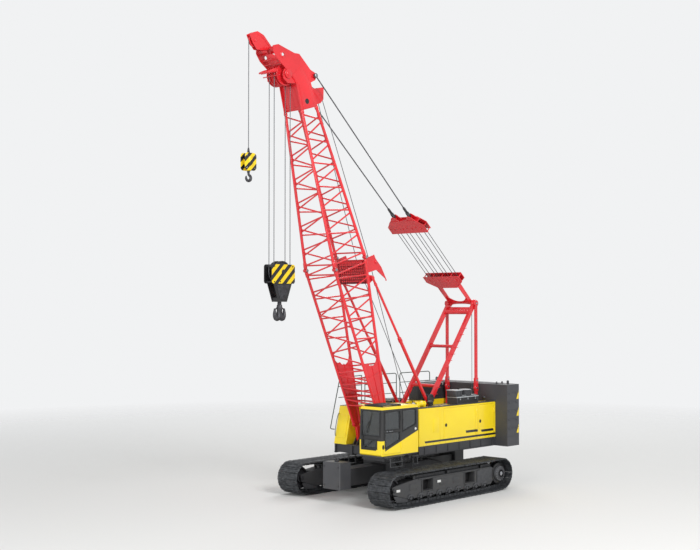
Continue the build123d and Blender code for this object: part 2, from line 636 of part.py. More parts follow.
with BuildPart() as cab:
    with BuildSketch(side_plane(CAB_OUTER_Y)):
        cab_outline(0)
    extrude(amount=CAB_OUTER_Y - CAB_INNER_Y)
    with BuildSketch(side_plane(CAB_OUTER_Y - CAB_WALL)):
        cab_outline(CAB_WALL)
    extrude(amount=CAB_OUTER_Y - CAB_INNER_Y - 2 * CAB_WALL, mode=Mode.SUBTRACT)
    for name, axis, middle, low, high in WINDOWS:
        block(low, high, mode=Mode.SUBTRACT)
    for name, middle, points in SIDE_PANES:
        pane(points, middle, 2 * CAB_WALL + 20, 0, mode=Mode.SUBTRACT)
    block((DOOR_REAR_X, CAB_OUTER_Y - CAB_WALL - 5, CAB_DOOR_BOTTOM),
          (DOOR_FRONT_X, CAB_OUTER_Y + 5, CAB_DOOR_TOP), mode=Mode.SUBTRACT)
    for height in CAB_HINGES:
        for low in (height - HINGE_LENGTH - SEAT, height + HINGE_LENGTH + SEAT):
            cab_hinge(low, -1)
save(cab, "cab")

with BuildPart() as cab_door:
    block((DOOR_REAR_X + GAP, CAB_OUTER_Y - 40, CAB_DOOR_BOTTOM + GAP),
          (DOOR_FRONT_X - GAP, CAB_OUTER_Y, CAB_DOOR_TOP - GAP))
    for name, middle, points in DOOR_PANES:
        pane(points, middle, 2 * CAB_WALL, 0, mode=Mode.SUBTRACT)
    for height in CAB_HINGES:
        cab_hinge(height, 1)
save(cab_door, "cab_door")

with BuildPart() as cab_door_glass:
    for name, middle, points in DOOR_PANES:
        pane(points, middle, GLASS, SEAT)
save(cab_door_glass, "cab_door_glass")

with BuildPart() as cab_glass:
    for name, axis, middle, low, high in WINDOWS:
        low_corner = [a + SEAT for a in low]
        high_corner = [a - SEAT for a in high]
        low_corner[axis] = middle - GLASS / 2
        high_corner[axis] = middle + GLASS / 2
        block(low_corner, high_corner)
    for name, middle, points in SIDE_PANES:
        pane(points, middle, GLASS, SEAT)
save(cab_glass, "cab_glass")

SEAT_X = 1750.0
SEAT_Y = (CAB_INNER_Y + CAB_OUTER_Y) / 2
with BuildPart() as operator_seat:
    floor_z = CAB_BOTTOM + CAB_WALL
    block((SEAT_X - 200, SEAT_Y - 180, floor_z), (SEAT_X + 200, SEAT_Y + 180, floor_z + 330))
    block((SEAT_X - 260, SEAT_Y - 250, floor_z + 330), (SEAT_X + 260, SEAT_Y + 250, floor_z + 460))
    with BuildSketch(side_plane(SEAT_Y)):
        with BuildLine():
            Polyline((SEAT_X - 260, floor_z + 400), (SEAT_X - 150, floor_z + 400), (SEAT_X - 260, floor_z + 1150),
                     (SEAT_X - 350, floor_z + 1130), close=True)
        make_face()
    extrude(amount=230, both=True)
save(operator_seat, "operator_seat")

with BuildPart() as control_consoles:
    for y in (SEAT_Y - 310, SEAT_Y + 310):
        block((SEAT_X - 150, y - 50, floor_z), (SEAT_X + 330, y + 50, floor_z + 620))
save(control_consoles, "control_consoles")

# ---------------------------------------------------------------- counterweight


def weight_outline():
    """Adds the counterweight's plan outline to the open sketch."""
    with BuildLine() as outline:
        front = COUNTERWEIGHT_FRONT_X
        rear = COUNTERWEIGHT_REAR_X
        half = COUNTERWEIGHT_HALF_WIDTH
        corner = Line((front, -half), (front, half))
        side_left = Line((front, half), (rear + COUNTERWEIGHT_BULGE, half))
        back = ThreePointArc((rear + COUNTERWEIGHT_BULGE, half), (rear, 0), (rear + COUNTERWEIGHT_BULGE, -half))
        side_right = Line((rear + COUNTERWEIGHT_BULGE, -half), (front, -half))
    make_face(outline.edges())


with BuildPart() as counterweight_base:
    with BuildSketch(Plane.XY.offset(COUNTERWEIGHT_BOTTOM)):
        weight_outline()
    extrude(amount=COUNTERWEIGHT_BASE)
save(counterweight_base, "counterweight_base")

with BuildPart() as counterweight_slabs:
    for i in range(SLAB_COUNT):
        low = COUNTERWEIGHT_BOTTOM + COUNTERWEIGHT_BASE + i * SLAB_HEIGHT
        with BuildSketch(Plane.XY.offset(low + SEAT)):
            weight_outline()
        extrude(amount=SLAB_HEIGHT - SEAT)
    # lifting lugs on the top slab
    lug_z = COUNTERWEIGHT_BOTTOM + COUNTERWEIGHT_BASE + SLAB_COUNT * SLAB_HEIGHT
    for sign in (1, -1):
        with BuildSketch(side_plane(sign * 1900)):
            with Locations((-4850, lug_z + 40)):
                SlotCenterToCenter(110, 120, rotation=90)
            with Locations((-4850, lug_z - 60)):
                Rectangle(200, 120, mode=Mode.SUBTRACT)
            with Locations((-4850, lug_z + 85)):
                Circle(32, mode=Mode.SUBTRACT)
        extrude(amount=20, both=True)
save(counterweight_slabs, "counterweight_slabs")

# ---------------------------------------------------------------- gantry
with BuildPart() as gantry_legs:
    for sign in (1, -1):
        foot = Vector(LEG_FOOT_X, sign * GANTRY_Y, LEG_FOOT_Z)
        top = Vector(GANTRY_TOP_X, sign * GANTRY_Y, GANTRY_TOP_Z)
        lean = (top - foot).normalized()
        flat_bar(foot + lean * 60, top - lean * 60, LEG_WIDTH, LEG_DEPTH)
        disc(foot.X, foot.Z, foot.Y - LEG_WIDTH / 2, foot.Y + LEG_WIDTH / 2, 100)
        disc(top.X, top.Z, top.Y - LEG_WIDTH / 2, top.Y + LEG_WIDTH / 2, 110)
    foot = Vector(LEG_FOOT_X, 0, LEG_FOOT_Z)
    top = Vector(GANTRY_TOP_X, 0, GANTRY_TOP_Z)
    for share, depth in ((0.93, 190), (0.66, 130), (0.36, 130)):
        middle = foot + (top - foot) * share
        bar(Vector(middle.X, -GANTRY_Y + 20, middle.Z), Vector(middle.X, GANTRY_Y - 20, middle.Z), depth / 2)
    for sign in (1, -1):
        disc(LEG_FOOT_X, LEG_FOOT_Z, sign * GANTRY_Y - 80, sign * GANTRY_Y + 80, GANTRY_PIN + RUN, mode=Mode.SUBTRACT)
        disc(GANTRY_TOP_X, GANTRY_TOP_Z, sign * GANTRY_Y - 80, sign * GANTRY_Y + 80, GANTRY_PIN + RUN,
             mode=Mode.SUBTRACT)
save(gantry_legs, "gantry_legs")

with BuildPart() as gantry_links:
    for sign in (1, -1):
        with BuildSketch(side_plane(sign * LINK_Y)):
            with Locations((GANTRY_TOP_X, (GANTRY_TOP_Z + LEG_FOOT_Z) / 2)):
                SlotCenterToCenter(GANTRY_TOP_Z - LEG_FOOT_Z, 170, rotation=90)
            with Locations((GANTRY_TOP_X, LEG_FOOT_Z)):
                Circle(GANTRY_PIN + RUN, mode=Mode.SUBTRACT)
        extrude(amount=LINK_THICKNESS / 2, both=True)
        inner = GANTRY_Y - LEG_WIDTH / 2 - 140
        near, far = sorted((sign * inner, sign * (LINK_Y + LINK_THICKNESS / 2 + 20)))
        disc(GANTRY_TOP_X, GANTRY_TOP_Z, near, far, GANTRY_PIN)
save(gantry_links, "gantry_links")

# two railings on the right house: place of the rear post, middle post and front post of each
RAILINGS = ((-3900.0, -2920.0, -1940.0), (-1720.0, -750.0, 220.0))
RAIL_Y = -DECK_HALF_WIDTH + 80
RAIL_HEIGHT = 1150.0
RAIL_RADIUS = 19.0
with BuildPart() as handrails:
    for rear, middle, front in RAILINGS:
        with BuildLine() as hoop:
            FilletPolyline((rear, RAIL_Y, HOUSE_TOP), (rear, RAIL_Y, HOUSE_TOP + RAIL_HEIGHT),
                           (front, RAIL_Y, HOUSE_TOP + RAIL_HEIGHT), (front, RAIL_Y, HOUSE_TOP), radius=110)
        with BuildSketch(Plane(origin=(rear, RAIL_Y, HOUSE_TOP), z_dir=(0, 0, 1))) as profile:
            Circle(RAIL_RADIUS)
        sweep(profile.sketch, path=hoop.wires()[0])
        bar(Vector(middle, RAIL_Y, HOUSE_TOP), Vector(middle, RAIL_Y, HOUSE_TOP + RAIL_HEIGHT), RAIL_RADIUS)
        for height in (760.0, 330.0):
            bar(Vector(rear, RAIL_Y, HOUSE_TOP + height), Vector(front, RAIL_Y, HOUSE_TOP + height), RAIL_RADIUS - 4)
save(handrails, "handrails")

# ---------------------------------------------------------------- boom: foot section
def half_depth(along):
    """Half the base section's depth at a place along the boom."""
    return FOOT_HALF_DEPTH + (JOINT_HALF_DEPTH - FOOT_HALF_DEPTH) * along / JOINT_ALONG


def half_width(along):
    """Half the distance between left and right chords at a place along the boom."""
    if along < JOINT_ALONG:
        return FOOT_Y + (JOINT_HALF_WIDTH - FOOT_Y) * along / JOINT_ALONG
    return JOINT_HALF_WIDTH + (TOP_HALF_WIDTH - JOINT_HALF_WIDTH) * (along - JOINT_ALONG) / (TOP_ALONG - JOINT_ALONG)


def chord_back(along, face):
    """How far back a chord runs; face is -1 for the front chords and 1 for the rear ones."""
    if along < JOINT_ALONG:
        return face * half_depth(along)
    share = (along - JOINT_ALONG) / (TOP_ALONG - JOINT_ALONG)
    end = TOP_FRONT if face < 0 else TOP_REAR
    return face * (JOINT_HALF_DEPTH + (end - JOINT_HALF_DEPTH) * share)


def chord_point(along, face, sign):
    """A point on a chord's centre line."""
    return boom_point(along, chord_back(along, face), sign * half_width(along))


def chords(start, end):
    """Adds the four chords between two places along the boom to the open part."""
    for face in (-1, 1):
        for sign in (1, -1):
            bar(chord_point(start, face, sign), chord_point(end, face, sign), CHORD_RADIUS)


def chord_heading(along, face, sign):
    """The direction in which a chord runs."""
    section = 500 if along < JOINT_ALONG else JOINT_ALONG + 500
    return (chord_point(section + 100, face, sign) - chord_point(section, face, sign)).normalized()


def lacing(low, first, high, second):
    """Adds one lacing tube between two chords, its ends cut flat beside them, to the open part."""
    start = chord_point(low, *first)
    line = chord_point(high, *second) - start
    length = line.length
    ends = []
    for along, chord in ((low, first), (high, second)):
        heading = chord_heading(along, *chord)
        across = (line - heading * line.dot(heading)).normalized()
        slope = line.dot(across) / length
        reach = (CHORD_RADIUS + RUN) / slope
        place = reach if chord is first else length - reach
        with BuildSketch(Plane(origin=start + line * (place / length), x_dir=heading, z_dir=across)) as profile:
            Ellipse(LACING_RADIUS / slope, LACING_RADIUS)
        ends.append(profile.sketch)
    loft(ends, ruled=True)


# the four faces of the boom: each runs between two chords, given as (face, side) pairs
BOOM_FACES = (
    ((-1, 1), (-1, -1), 0.0),
    ((1, 1), (1, -1), 0.0),
    ((-1, 1), (1, 1), 0.5),
    ((-1, -1), (1, -1), 0.5),
)
NODE_SPREAD = 48.0


def lacings(start, end, panels, faces):
    """Adds a single zigzag of lacings on some faces between two places along the boom to the open part."""
    half_pitch = (end - start) / (2 * panels + 0.5)
    for first, second, shift in faces:
        for i in range(2 * panels):
            low = start + (i + shift) * half_pitch
            near, far = (first, second) if i % 2 == 0 else (second, first)
            lacing(low + NODE_SPREAD, near, low + half_pitch - NODE_SPREAD, far)


def frame_bars(along):
    """Adds a square frame of tubes across the boom to the open part."""
    for first, second, shift in BOOM_FACES:
        lacing(along, first, along, second)


REAR_TUBE_ALONG = JOINT_ALONG - 190
PANEL_LOW = JOINT_ALONG - 1010
PANEL_HIGH = JOINT_ALONG - KNUCKLE_RADIUS - 10
BASE_LEAN = (JOINT_HALF_WIDTH - FOOT_Y) / JOINT_ALONG
TOP_LEAN = (JOINT_HALF_WIDTH - TOP_HALF_WIDTH) / (TOP_ALONG - JOINT_ALONG)
TOP_TAPER = (JOINT_HALF_DEPTH - TOP_REAR) / (TOP_ALONG - JOINT_ALONG)
CHORD_SEAT = 1.01 * (CHORD_RADIUS + RUN)      # from a chord's centre line to a flat edge that leans with it

with BuildPart() as boom_foot:
    for sign in (1, -1):
        y = sign * FOOT_Y
        with BuildSketch(boom_plane(y)):
            with BuildLine():
                front_low = (450, -(half_depth(450) - CHORD_SEAT))
                front_high = (PLATE_END, -(half_depth(PLATE_END) - CHORD_SEAT))
                back_high = (PLATE_END, half_depth(PLATE_END) - CHORD_SEAT)
                back_low = (450, half_depth(450) - CHORD_SEAT)
                dip = (PLATE_END - 130, -0.42 * half_depth(PLATE_END))
                Line(front_low, front_high)
                ThreePointArc(front_high, (PLATE_END - 120, -0.66 * half_depth(PLATE_END)), dip)
                rise = (PLATE_END - 150, 0.72 * half_depth(PLATE_END))
                ThreePointArc(dip, (PLATE_END - PLATE_HOLLOW, 60), rise)
                Line(rise, back_high)
                Line(back_high, back_low)
                Line(back_low, front_low)
            make_face()
        extrude(amount=20, both=True)
        with BuildSketch(boom_plane(y)):
            with BuildLine():
                Line((0, -150), (520, -95))
                Line((520, -95), (520, 95))
                Line((520, 95), (0, 150))
                ThreePointArc((0, 150), (-150, 0), (0, -150))
            make_face()
            Circle(FOOT_PIN + 0.8, mode=Mode.SUBTRACT)
        extrude(amount=60, both=True)
save(boom_foot, "boom_foot")

with BuildPart() as base_chords:
    chords(576, JOINT_ALONG - KNUCKLE_RADIUS - RUN - CHORD_RADIUS * BASE_LEAN - 0.2)
save(base_chords, "base_chords")

# single lacing above the foot plates, crossed bracing between them
FOOT_BRACE_FROM = 1500.0
with BuildPart() as base_lacings:
    lacings(BASE_LACING_FROM, JOINT_ALONG - 300, BASE_PANELS, BOOM_FACES[:2])
    lacings(PLATE_END, JOINT_ALONG - 300, BASE_PANELS, BOOM_FACES[2:])
    frame_bars(REAR_TUBE_ALONG)
    for first, second, shift in BOOM_FACES[:2]:
        lacing(FOOT_BRACE_FROM, first, FOOT_BRACE_FROM, second)
    lacings(FOOT_BRACE_FROM + 40, BASE_LACING_FROM - 40, FOOT_BRACE_PANELS, BOOM_FACES[:2])
save(base_lacings, "base_lacings")

with BuildPart() as top_chords:
    chords(JOINT_ALONG + KNUCKLE_RADIUS + RUN + CHORD_RADIUS * TOP_LEAN + 0.3,
           TOP_ALONG - CHORD_RADIUS * math.hypot(TOP_LEAN, TOP_TAPER))
save(top_chords, "top_chords")

with BuildPart() as top_lacings:
    frame_bars(JOINT_ALONG + 190)
    lacings(JOINT_ALONG + 300, TOP_ALONG - 100, TOP_PANELS, BOOM_FACES)
save(top_lacings, "top_lacings")

# pinned knuckles that join the two sections at the four chords
with BuildPart() as boom_knuckles:
    for face in (-1, 1):
        for sign in (1, -1):
            with BuildSketch(boom_plane(sign * JOINT_HALF_WIDTH)):
                with Locations((JOINT_ALONG, face * JOINT_HALF_DEPTH)):
                    Circle(KNUCKLE_RADIUS)
            extrude(amount=70, both=True)
save(boom_knuckles, "boom_knuckles")

# the walkway panel lies inside the rear lacing; beside it, on the rear chords, stand the side plates
# that hold the backstops' upper pins
rear_low = boom_point(0, FOOT_HALF_DEPTH, 0)
rear_heading = (boom_point(JOINT_ALONG, JOINT_HALF_DEPTH, 0) - rear_low).normalized()
rear_plane = Plane(origin=rear_low, x_dir=rear_heading, z_dir=rear_heading.cross(Vector(0, 1, 0)))
REAR_STRETCH = 1 / math.cos(math.atan((JOINT_HALF_DEPTH - FOOT_HALF_DEPTH) / JOINT_ALONG))
LUG_Y = JOINT_HALF_WIDTH - 20
with BuildPart() as boom_side_plates:
    with BuildSketch(rear_plane.offset(-LACING_RADIUS - RUN)):
        with BuildLine():
            low_half = half_width(PANEL_LOW) - CHORD_RADIUS + 8
            high_half = half_width(PANEL_HIGH) - CHORD_RADIUS + 8
            Polyline((PANEL_LOW * REAR_STRETCH, -low_half), (PANEL_HIGH * REAR_STRETCH, -high_half),
                     (PANEL_HIGH * REAR_STRETCH, high_half), (PANEL_LOW * REAR_STRETCH, low_half), close=True)
        make_face()
    extrude(amount=-12)
    for sign in (1, -1):
        with BuildSketch(boom_plane(sign * LUG_Y)):
            with BuildLine():
                low = BACKSTOP_ALONG - 170
                high = BACKSTOP_ALONG + 170
                Polyline((low, half_depth(low) + CHORD_SEAT), (high, half_depth(high) + CHORD_SEAT),
                         (BACKSTOP_ALONG + 80, BACKSTOP_BACK + 80), (BACKSTOP_ALONG - 80, BACKSTOP_BACK + 80),
                         close=True)
            make_face()
        extrude(amount=15, both=True)
        place = boom_point(BACKSTOP_ALONG, BACKSTOP_BACK, 0)
        near, far = sorted((sign * LUG_Y, sign * (BACKSTOP_Y - 25 - SEAT)))
        disc(place.X, place.Z, near, far, 42)
save(boom_side_plates, "boom_side_plates")

# two horns behind the joint, with a roller between them for the hoist ropes
HORN_TIP = (5950.0, 1780.0)
ROPE_ROLLER = (6760.0, 1400.0)
with BuildPart() as rope_arm:
    for sign in (1, -1):
        with BuildSketch(boom_plane(sign * LUG_Y)):
            with BuildLine():
                low = JOINT_ALONG - 610
                high = JOINT_ALONG - 60
                Polyline((low, half_depth(low) + CHORD_SEAT), (high, half_depth(high) + CHORD_SEAT), (7060, 1390),
                         (6900, 1420), (6500, 1640), HORN_TIP, (6240, 1530), (6470, 1340), close=True)
            make_face()
        extrude(amount=15, both=True)
    place = boom_point(*ROPE_ROLLER, 0)
    disc(place.X, place.Z, -LUG_Y, LUG_Y, 30)
save(rope_arm, "rope_arm")

# ---------------------------------------------------------------- boom head
# outlines in the boom's side view
CHEEK_OUTLINE = (
    (TOP_ALONG + SEAT, -TOP_FRONT - 58), (13994, -430), (14390, -640), (14720, -890), (15000, -1110), (15300, -1215),
    (15470, -1160), (15470, -900), (15050, -210), (14980, 30), (14330, 430), (14240, 560), (14180, 640),
    (14020, 640), (13930, 540), (13890, 300), (TOP_ALONG + SEAT, TOP_REAR + 58),
)
AXLE_BRACKET = ((13994, -425), (14060, -800), (14260, -980), (14500, -930), (14620, -780), (14760, -880), (14700, -500))
ROLLER_BRACKET = ((13060, 320), (13700, 330), (13640, 700), (13600, 1170), (13170, 1020), (13060, 820))
TIP_OUTLINE = (
    (15180, -806), (15360, -760), (15420, -890), (15880, -1150), (16055, -1400), (16050, -1600), (16010, -1810),
    (15710, -1760), (15450, -1630), (15380, -1410), (15330, -1020), (15180, -1000),
)
JIB_BORE = (15080.0, -790.0)
JIB_BORE_RADIUS = 75.0


def boom_profile(points, y, thickness):
    """Adds a flat plate with an outline in the boom's side view, centred on a side plane, to the open part."""
    with BuildSketch(boom_plane(y)) as profile:
        with BuildLine() as outline:
            Polyline(*points, close=True)
        make_face(outline.edges())
    extrude(profile.sketch, amount=thickness / 2, both=True)


with BuildPart() as head_frame:
    bore = boom_point(*JIB_BORE, 0)
    axle = boom_point(MAIN_AXLE_ALONG, MAIN_AXLE_BACK, 0)
    roller = boom_point(ROLLER_ALONG, ROLLER_BACK, 0)
    for sign in (1, -1):
        boom_profile(CHEEK_OUTLINE, sign * CHEEK_Y, CHEEK)
        boom_profile(AXLE_BRACKET, sign * (CHEEK_Y - CHEEK), CHEEK)
        boom_profile(ROLLER_BRACKET, sign * 200, 16)
        disc(bore.X, bore.Z, sign * CHEEK_Y - CHEEK, sign * CHEEK_Y + CHEEK, JIB_BORE_RADIUS, mode=Mode.SUBTRACT)
        # stub that the pendant's eye stands against
        place = boom_point(PENDANT_TOP_ALONG, PENDANT_TOP_BACK, 0)
        near, far = sorted((sign * (CHEEK_Y + CHEEK / 2 - 1), sign * (PENDANT_Y - 28 - SEAT)))
        disc(place.X, place.Z, near, far, 55)
        # front plates on both sides of the sheaves
        with BuildSketch(boom_plane(sign * 305)):
            with BuildLine():
                Polyline((13990, -400), (14016, -400), (14236, -790), (14210, -790), close=True)
            make_face()
        extrude(amount=121, both=True)
    # tubes between the cheeks
    for along, back, radius in ((13100.0, 300.0, 50.0), (13660.0, 300.0, 45.0), (13100.0, -400.0, 50.0),
                                (14080.0, 470.0, 50.0), (15000.0, -250.0, 45.0)):
        place = boom_point(along, back, 0)
        disc(place.X, place.Z, -CHEEK_Y + CHEEK / 2 - 1, CHEEK_Y - CHEEK / 2 + 1, radius)
    disc(axle.X, axle.Z, -CHEEK_Y - 40, CHEEK_Y + 40, 60)
    disc(roller.X, roller.Z, -215, 215, 30)
save(head_frame, "head_frame")

tip = boom_point(TIP_AXLE_ALONG, TIP_AXLE_BACK, 0)
TIP_PIN = 34.0
# name, centre, middle places across, half thickness, radius, pin radius
HEAD_SHEAVES = (
    ("main", axle, (MAIN_SHEAVE_Y, -MAIN_SHEAVE_Y), 35.0, MAIN_SHEAVE, 60.0),
    ("tip", tip, (0.0,), 30.0, TIP_SHEAVE, TIP_PIN),
    ("roller", roller, (0.0,), 185.0, 100.0, 30.0),
)
with BuildPart() as head_sheaves:
    for name, centre, places, half_thickness, radius, pin in HEAD_SHEAVES:
        for y in places:
            with BuildSketch(side_plane(y)):
                with Locations((centre.X, centre.Z)):
                    Circle(radius)
                    Circle(pin + RUN, mode=Mode.SUBTRACT)
            extrude(amount=half_thickness, both=True)
save(head_sheaves, "head_sheaves")

with BuildPart() as tip_arm:
    for sign in (1, -1):
        boom_profile(TIP_OUTLINE, sign * 80, 20)
        near, far = sorted((sign * 89, sign * (CHEEK_Y - CHEEK / 2)))
        for along, back in ((15230.0, -860.0), (15400.0, -1050.0)):
            place = boom_point(along, back, 0)
            disc(place.X, place.Z, near, far, 38)
    disc(tip.X, tip.Z, -105, 105, TIP_PIN)
save(tip_arm, "tip_arm")

# ---------------------------------------------------------------- boom suspension
gantry_top = Vector(GANTRY_TOP_X, 0, GANTRY_TOP_Z)
pendant_top = boom_point(PENDANT_TOP_ALONG, PENDANT_TOP_BACK, 0)
hoist_line = (pendant_top - gantry_top).normalized()
hoist_up = Vector(-hoist_line.Z, 0, hoist_line.X)


def hoist_plane(y):
    """Side view along the boom hoist rope: x runs from the gantry top to the boom head, y is above it."""
    return Plane(origin=(GANTRY_TOP_X, y, GANTRY_TOP_Z), x_dir=hoist_line, z_dir=(0, -1, 0))


def hoist_point(reach, above, y):
    """A point given in the boom hoist rope's frame."""
    place = gantry_top + hoist_line * reach + hoist_up * above
    return Vector(place.X, y, place.Z)


def lying_plane(above):
    """View of the suspension from above it: x runs to the boom head, y stays the machine's Y."""
    return Plane(origin=hoist_point(0, above, 0), x_dir=hoist_line, z_dir=hoist_up)


def sheave_box(outline_points, sheave_reach):
    """Adds two lying plates and the sheave pins between them to the open part."""
    for above in (-BRIDLE_GAP / 2 - BRIDLE_PLATE, BRIDLE_GAP / 2):
        with BuildSketch(lying_plane(above)) as profile:
            with BuildLine() as outline:
                Polyline(*outline_points, close=True)
            make_face(outline.edges())
        extrude(profile.sketch, amount=BRIDLE_PLATE)
    with BuildSketch(lying_plane(-BRIDLE_GAP / 2 - BRIDLE_PLATE - 12)) as profile:
        with Locations(*[(sheave_reach, y) for y in HOIST_SHEAVE_PLACES]):
            Circle(HOIST_PIN)
    extrude(profile.sketch, amount=BRIDLE_GAP + 2 * BRIDLE_PLATE + 24)


def lying_sheaves(sheave_reach):
    """Adds the sheaves of one suspension block to the open part."""
    with BuildSketch(lying_plane(-25)) as profile:
        with Locations(*[(sheave_reach, y) for y in HOIST_SHEAVE_PLACES]):
            Circle(HOIST_SHEAVE)
            Circle(HOIST_PIN + RUN, mode=Mode.SUBTRACT)
    extrude(profile.sketch, amount=50)


ARM_Y = GANTRY_Y - LEG_WIDTH / 2 - 60
with BuildPart() as gantry_block:
    sheave_box(((1100, -500), (1450, -BRIDLE_HALF_WIDTH), (1780, -BRIDLE_HALF_WIDTH), (1780, BRIDLE_HALF_WIDTH),
                (1450, BRIDLE_HALF_WIDTH), (1100, 500)), BLOCK_REACH)
    for sign in (1, -1):
        with BuildSketch(hoist_plane(sign * ARM_Y)):
            with BuildLine():
                top = BRIDLE_GAP / 2 + 1
                Polyline((0, -85), (1200, -top), (1400, -top), (1400, top), (1200, top), (0, 85))
                ThreePointArc((0, 85), (-85, 0), (0, -85))
            make_face()
            Circle(GANTRY_PIN + 0.8, mode=Mode.SUBTRACT)
        extrude(amount=15, both=True)
save(gantry_block, "gantry_block")

with BuildPart() as gantry_sheaves:
    lying_sheaves(BLOCK_REACH)
save(gantry_sheaves, "gantry_sheaves")

BRIDLE_FRONT = 5050.0
SOCKET_PIN = 32.0
with BuildPart() as bridle:
    sheave_box(((4370, -BRIDLE_HALF_WIDTH), (4750, -BRIDLE_HALF_WIDTH), (BRIDLE_FRONT, -650), (BRIDLE_FRONT, 650),
                (4750, BRIDLE_HALF_WIDTH), (4370, BRIDLE_HALF_WIDTH)), BRIDLE_REACH)
    # front web between the plates, and a lug with a pin for each pendant
    with BuildSketch(lying_plane(-BRIDLE_GAP / 2 - 1)):
        with Locations((BRIDLE_FRONT - 90, 0)):
            Rectangle(24, 1500)
    extrude(amount=BRIDLE_GAP + 2)
    for sign in (1, -1):
        with BuildSketch(hoist_plane(sign * PENDANT_LOW_Y)):
            with BuildLine():
                Polyline((BRIDLE_FRONT - 79, -BRIDLE_GAP / 2 - 1), (BRIDLE_FRONT - 79, BRIDLE_GAP / 2 + 1),
                         (BRIDLE_FRONT, BRIDLE_GAP / 2 + 1), (BRIDLE_FRONT + 200, 60), (BRIDLE_FRONT + 200, -60),
                         (BRIDLE_FRONT, -BRIDLE_GAP / 2 - 1), close=True)
            make_face()
        extrude(amount=20, both=True)
        place = hoist_point(BRIDLE_FRONT + 140, 0, 0)
        disc(place.X, place.Z, sign * PENDANT_LOW_Y - 48, sign * PENDANT_LOW_Y + 48, SOCKET_PIN)
save(bridle, "bridle")

with BuildPart() as bridle_sheaves:
    lying_sheaves(BRIDLE_REACH)
save(bridle_sheaves, "bridle_sheaves")

pendant_reach = (pendant_top - gantry_top).length
SOCKET_END = BRIDLE_FRONT + 600
with BuildPart() as pendants:
    for sign in (1, -1):
        # forked socket, rope and top eye
        for side in (1, -1):
            with BuildSketch(hoist_plane(sign * PENDANT_LOW_Y + side * (20 + SEAT + 9))):
                with Locations((BRIDLE_FRONT + 230, 0)):
                    SlotCenterToCenter(180, 120)
                with Locations((BRIDLE_FRONT + 140, 0)):
                    Circle(SOCKET_PIN + 0.8, mode=Mode.SUBTRACT)
            extrude(amount=9, both=True)
        low = hoist_point(BRIDLE_FRONT + 250, 0, sign * PENDANT_LOW_Y)
        high = hoist_point(SOCKET_END, 0, sign * PENDANT_LOW_Y)
        bar(low, high, 46)
        bar(high, hoist_point(pendant_reach - 60, 0, sign * PENDANT_Y), PENDANT_RADIUS)
        with BuildSketch(hoist_plane(sign * PENDANT_Y)):
            with Locations((pendant_reach, 0)):
                Circle(85)
        extrude(amount=28, both=True)
save(pendants, "pendants")

# ---------------------------------------------------------------- backstops
with BuildPart() as backstop_barrels:
    for sign in (1, -1):
        foot = Vector(BACKSTOP_FOOT_X, sign * BACKSTOP_Y, BACKSTOP_FOOT_Z)
        eye = boom_point(BACKSTOP_ALONG, BACKSTOP_BACK, sign * BACKSTOP_Y)
        line = (eye - foot).normalized()
        plane = Plane(origin=foot + line * 30, z_dir=line)
        with BuildSketch(plane):
            Circle(BARREL_RADIUS)
        extrude(amount=BARREL_LENGTH - 30)
        disc(foot.X, foot.Z, foot.Y - 50, foot.Y + 50, 70)
        with BuildSketch(Plane(origin=foot + line * 900, z_dir=line)):
            Circle(ROD_RADIUS + RUN)
        extrude(amount=BARREL_LENGTH, mode=Mode.SUBTRACT)
        disc(foot.X, foot.Z, foot.Y - 90, foot.Y + 90, 34 + 0.8, mode=Mode.SUBTRACT)
save(backstop_barrels, "backstop_barrels")

ROD_NECK = 200.0             # the round rod ends this far from the eye, clear of the pin on the boom
with BuildPart() as backstop_rods:
    for sign in (1, -1):
        foot = Vector(BACKSTOP_FOOT_X, sign * BACKSTOP_Y, BACKSTOP_FOOT_Z)
        eye = boom_point(BACKSTOP_ALONG, BACKSTOP_BACK, sign * BACKSTOP_Y)
        line = (eye - foot).normalized()
        bar(foot + line * 2100, eye - line * ROD_NECK, ROD_RADIUS)
        flat_bar(eye - line * (ROD_NECK + 20), eye, 50, 1.6 * ROD_RADIUS)
        disc(eye.X, eye.Z, eye.Y - 25, eye.Y + 25, 75)
save(backstop_rods, "backstop_rods")

# ---------------------------------------------------------------- hook blocks
FALL_X = (axle.X - MAIN_SHEAVE, axle.X + MAIN_SHEAVE)
BLOCK_SHEAVE = 380.0
with BuildPart() as main_falls:
    for y in (MAIN_SHEAVE_Y, -MAIN_SHEAVE_Y):
        for x in (axle.X - MAIN_SHEAVE - ROPE_RADIUS - RUN, axle.X + MAIN_SHEAVE + ROPE_RADIUS + RUN):
            bar(Vector(x, y, MAIN_BLOCK_Z), Vector(x, y, axle.Z), ROPE_RADIUS)
save(main_falls, "main_falls")

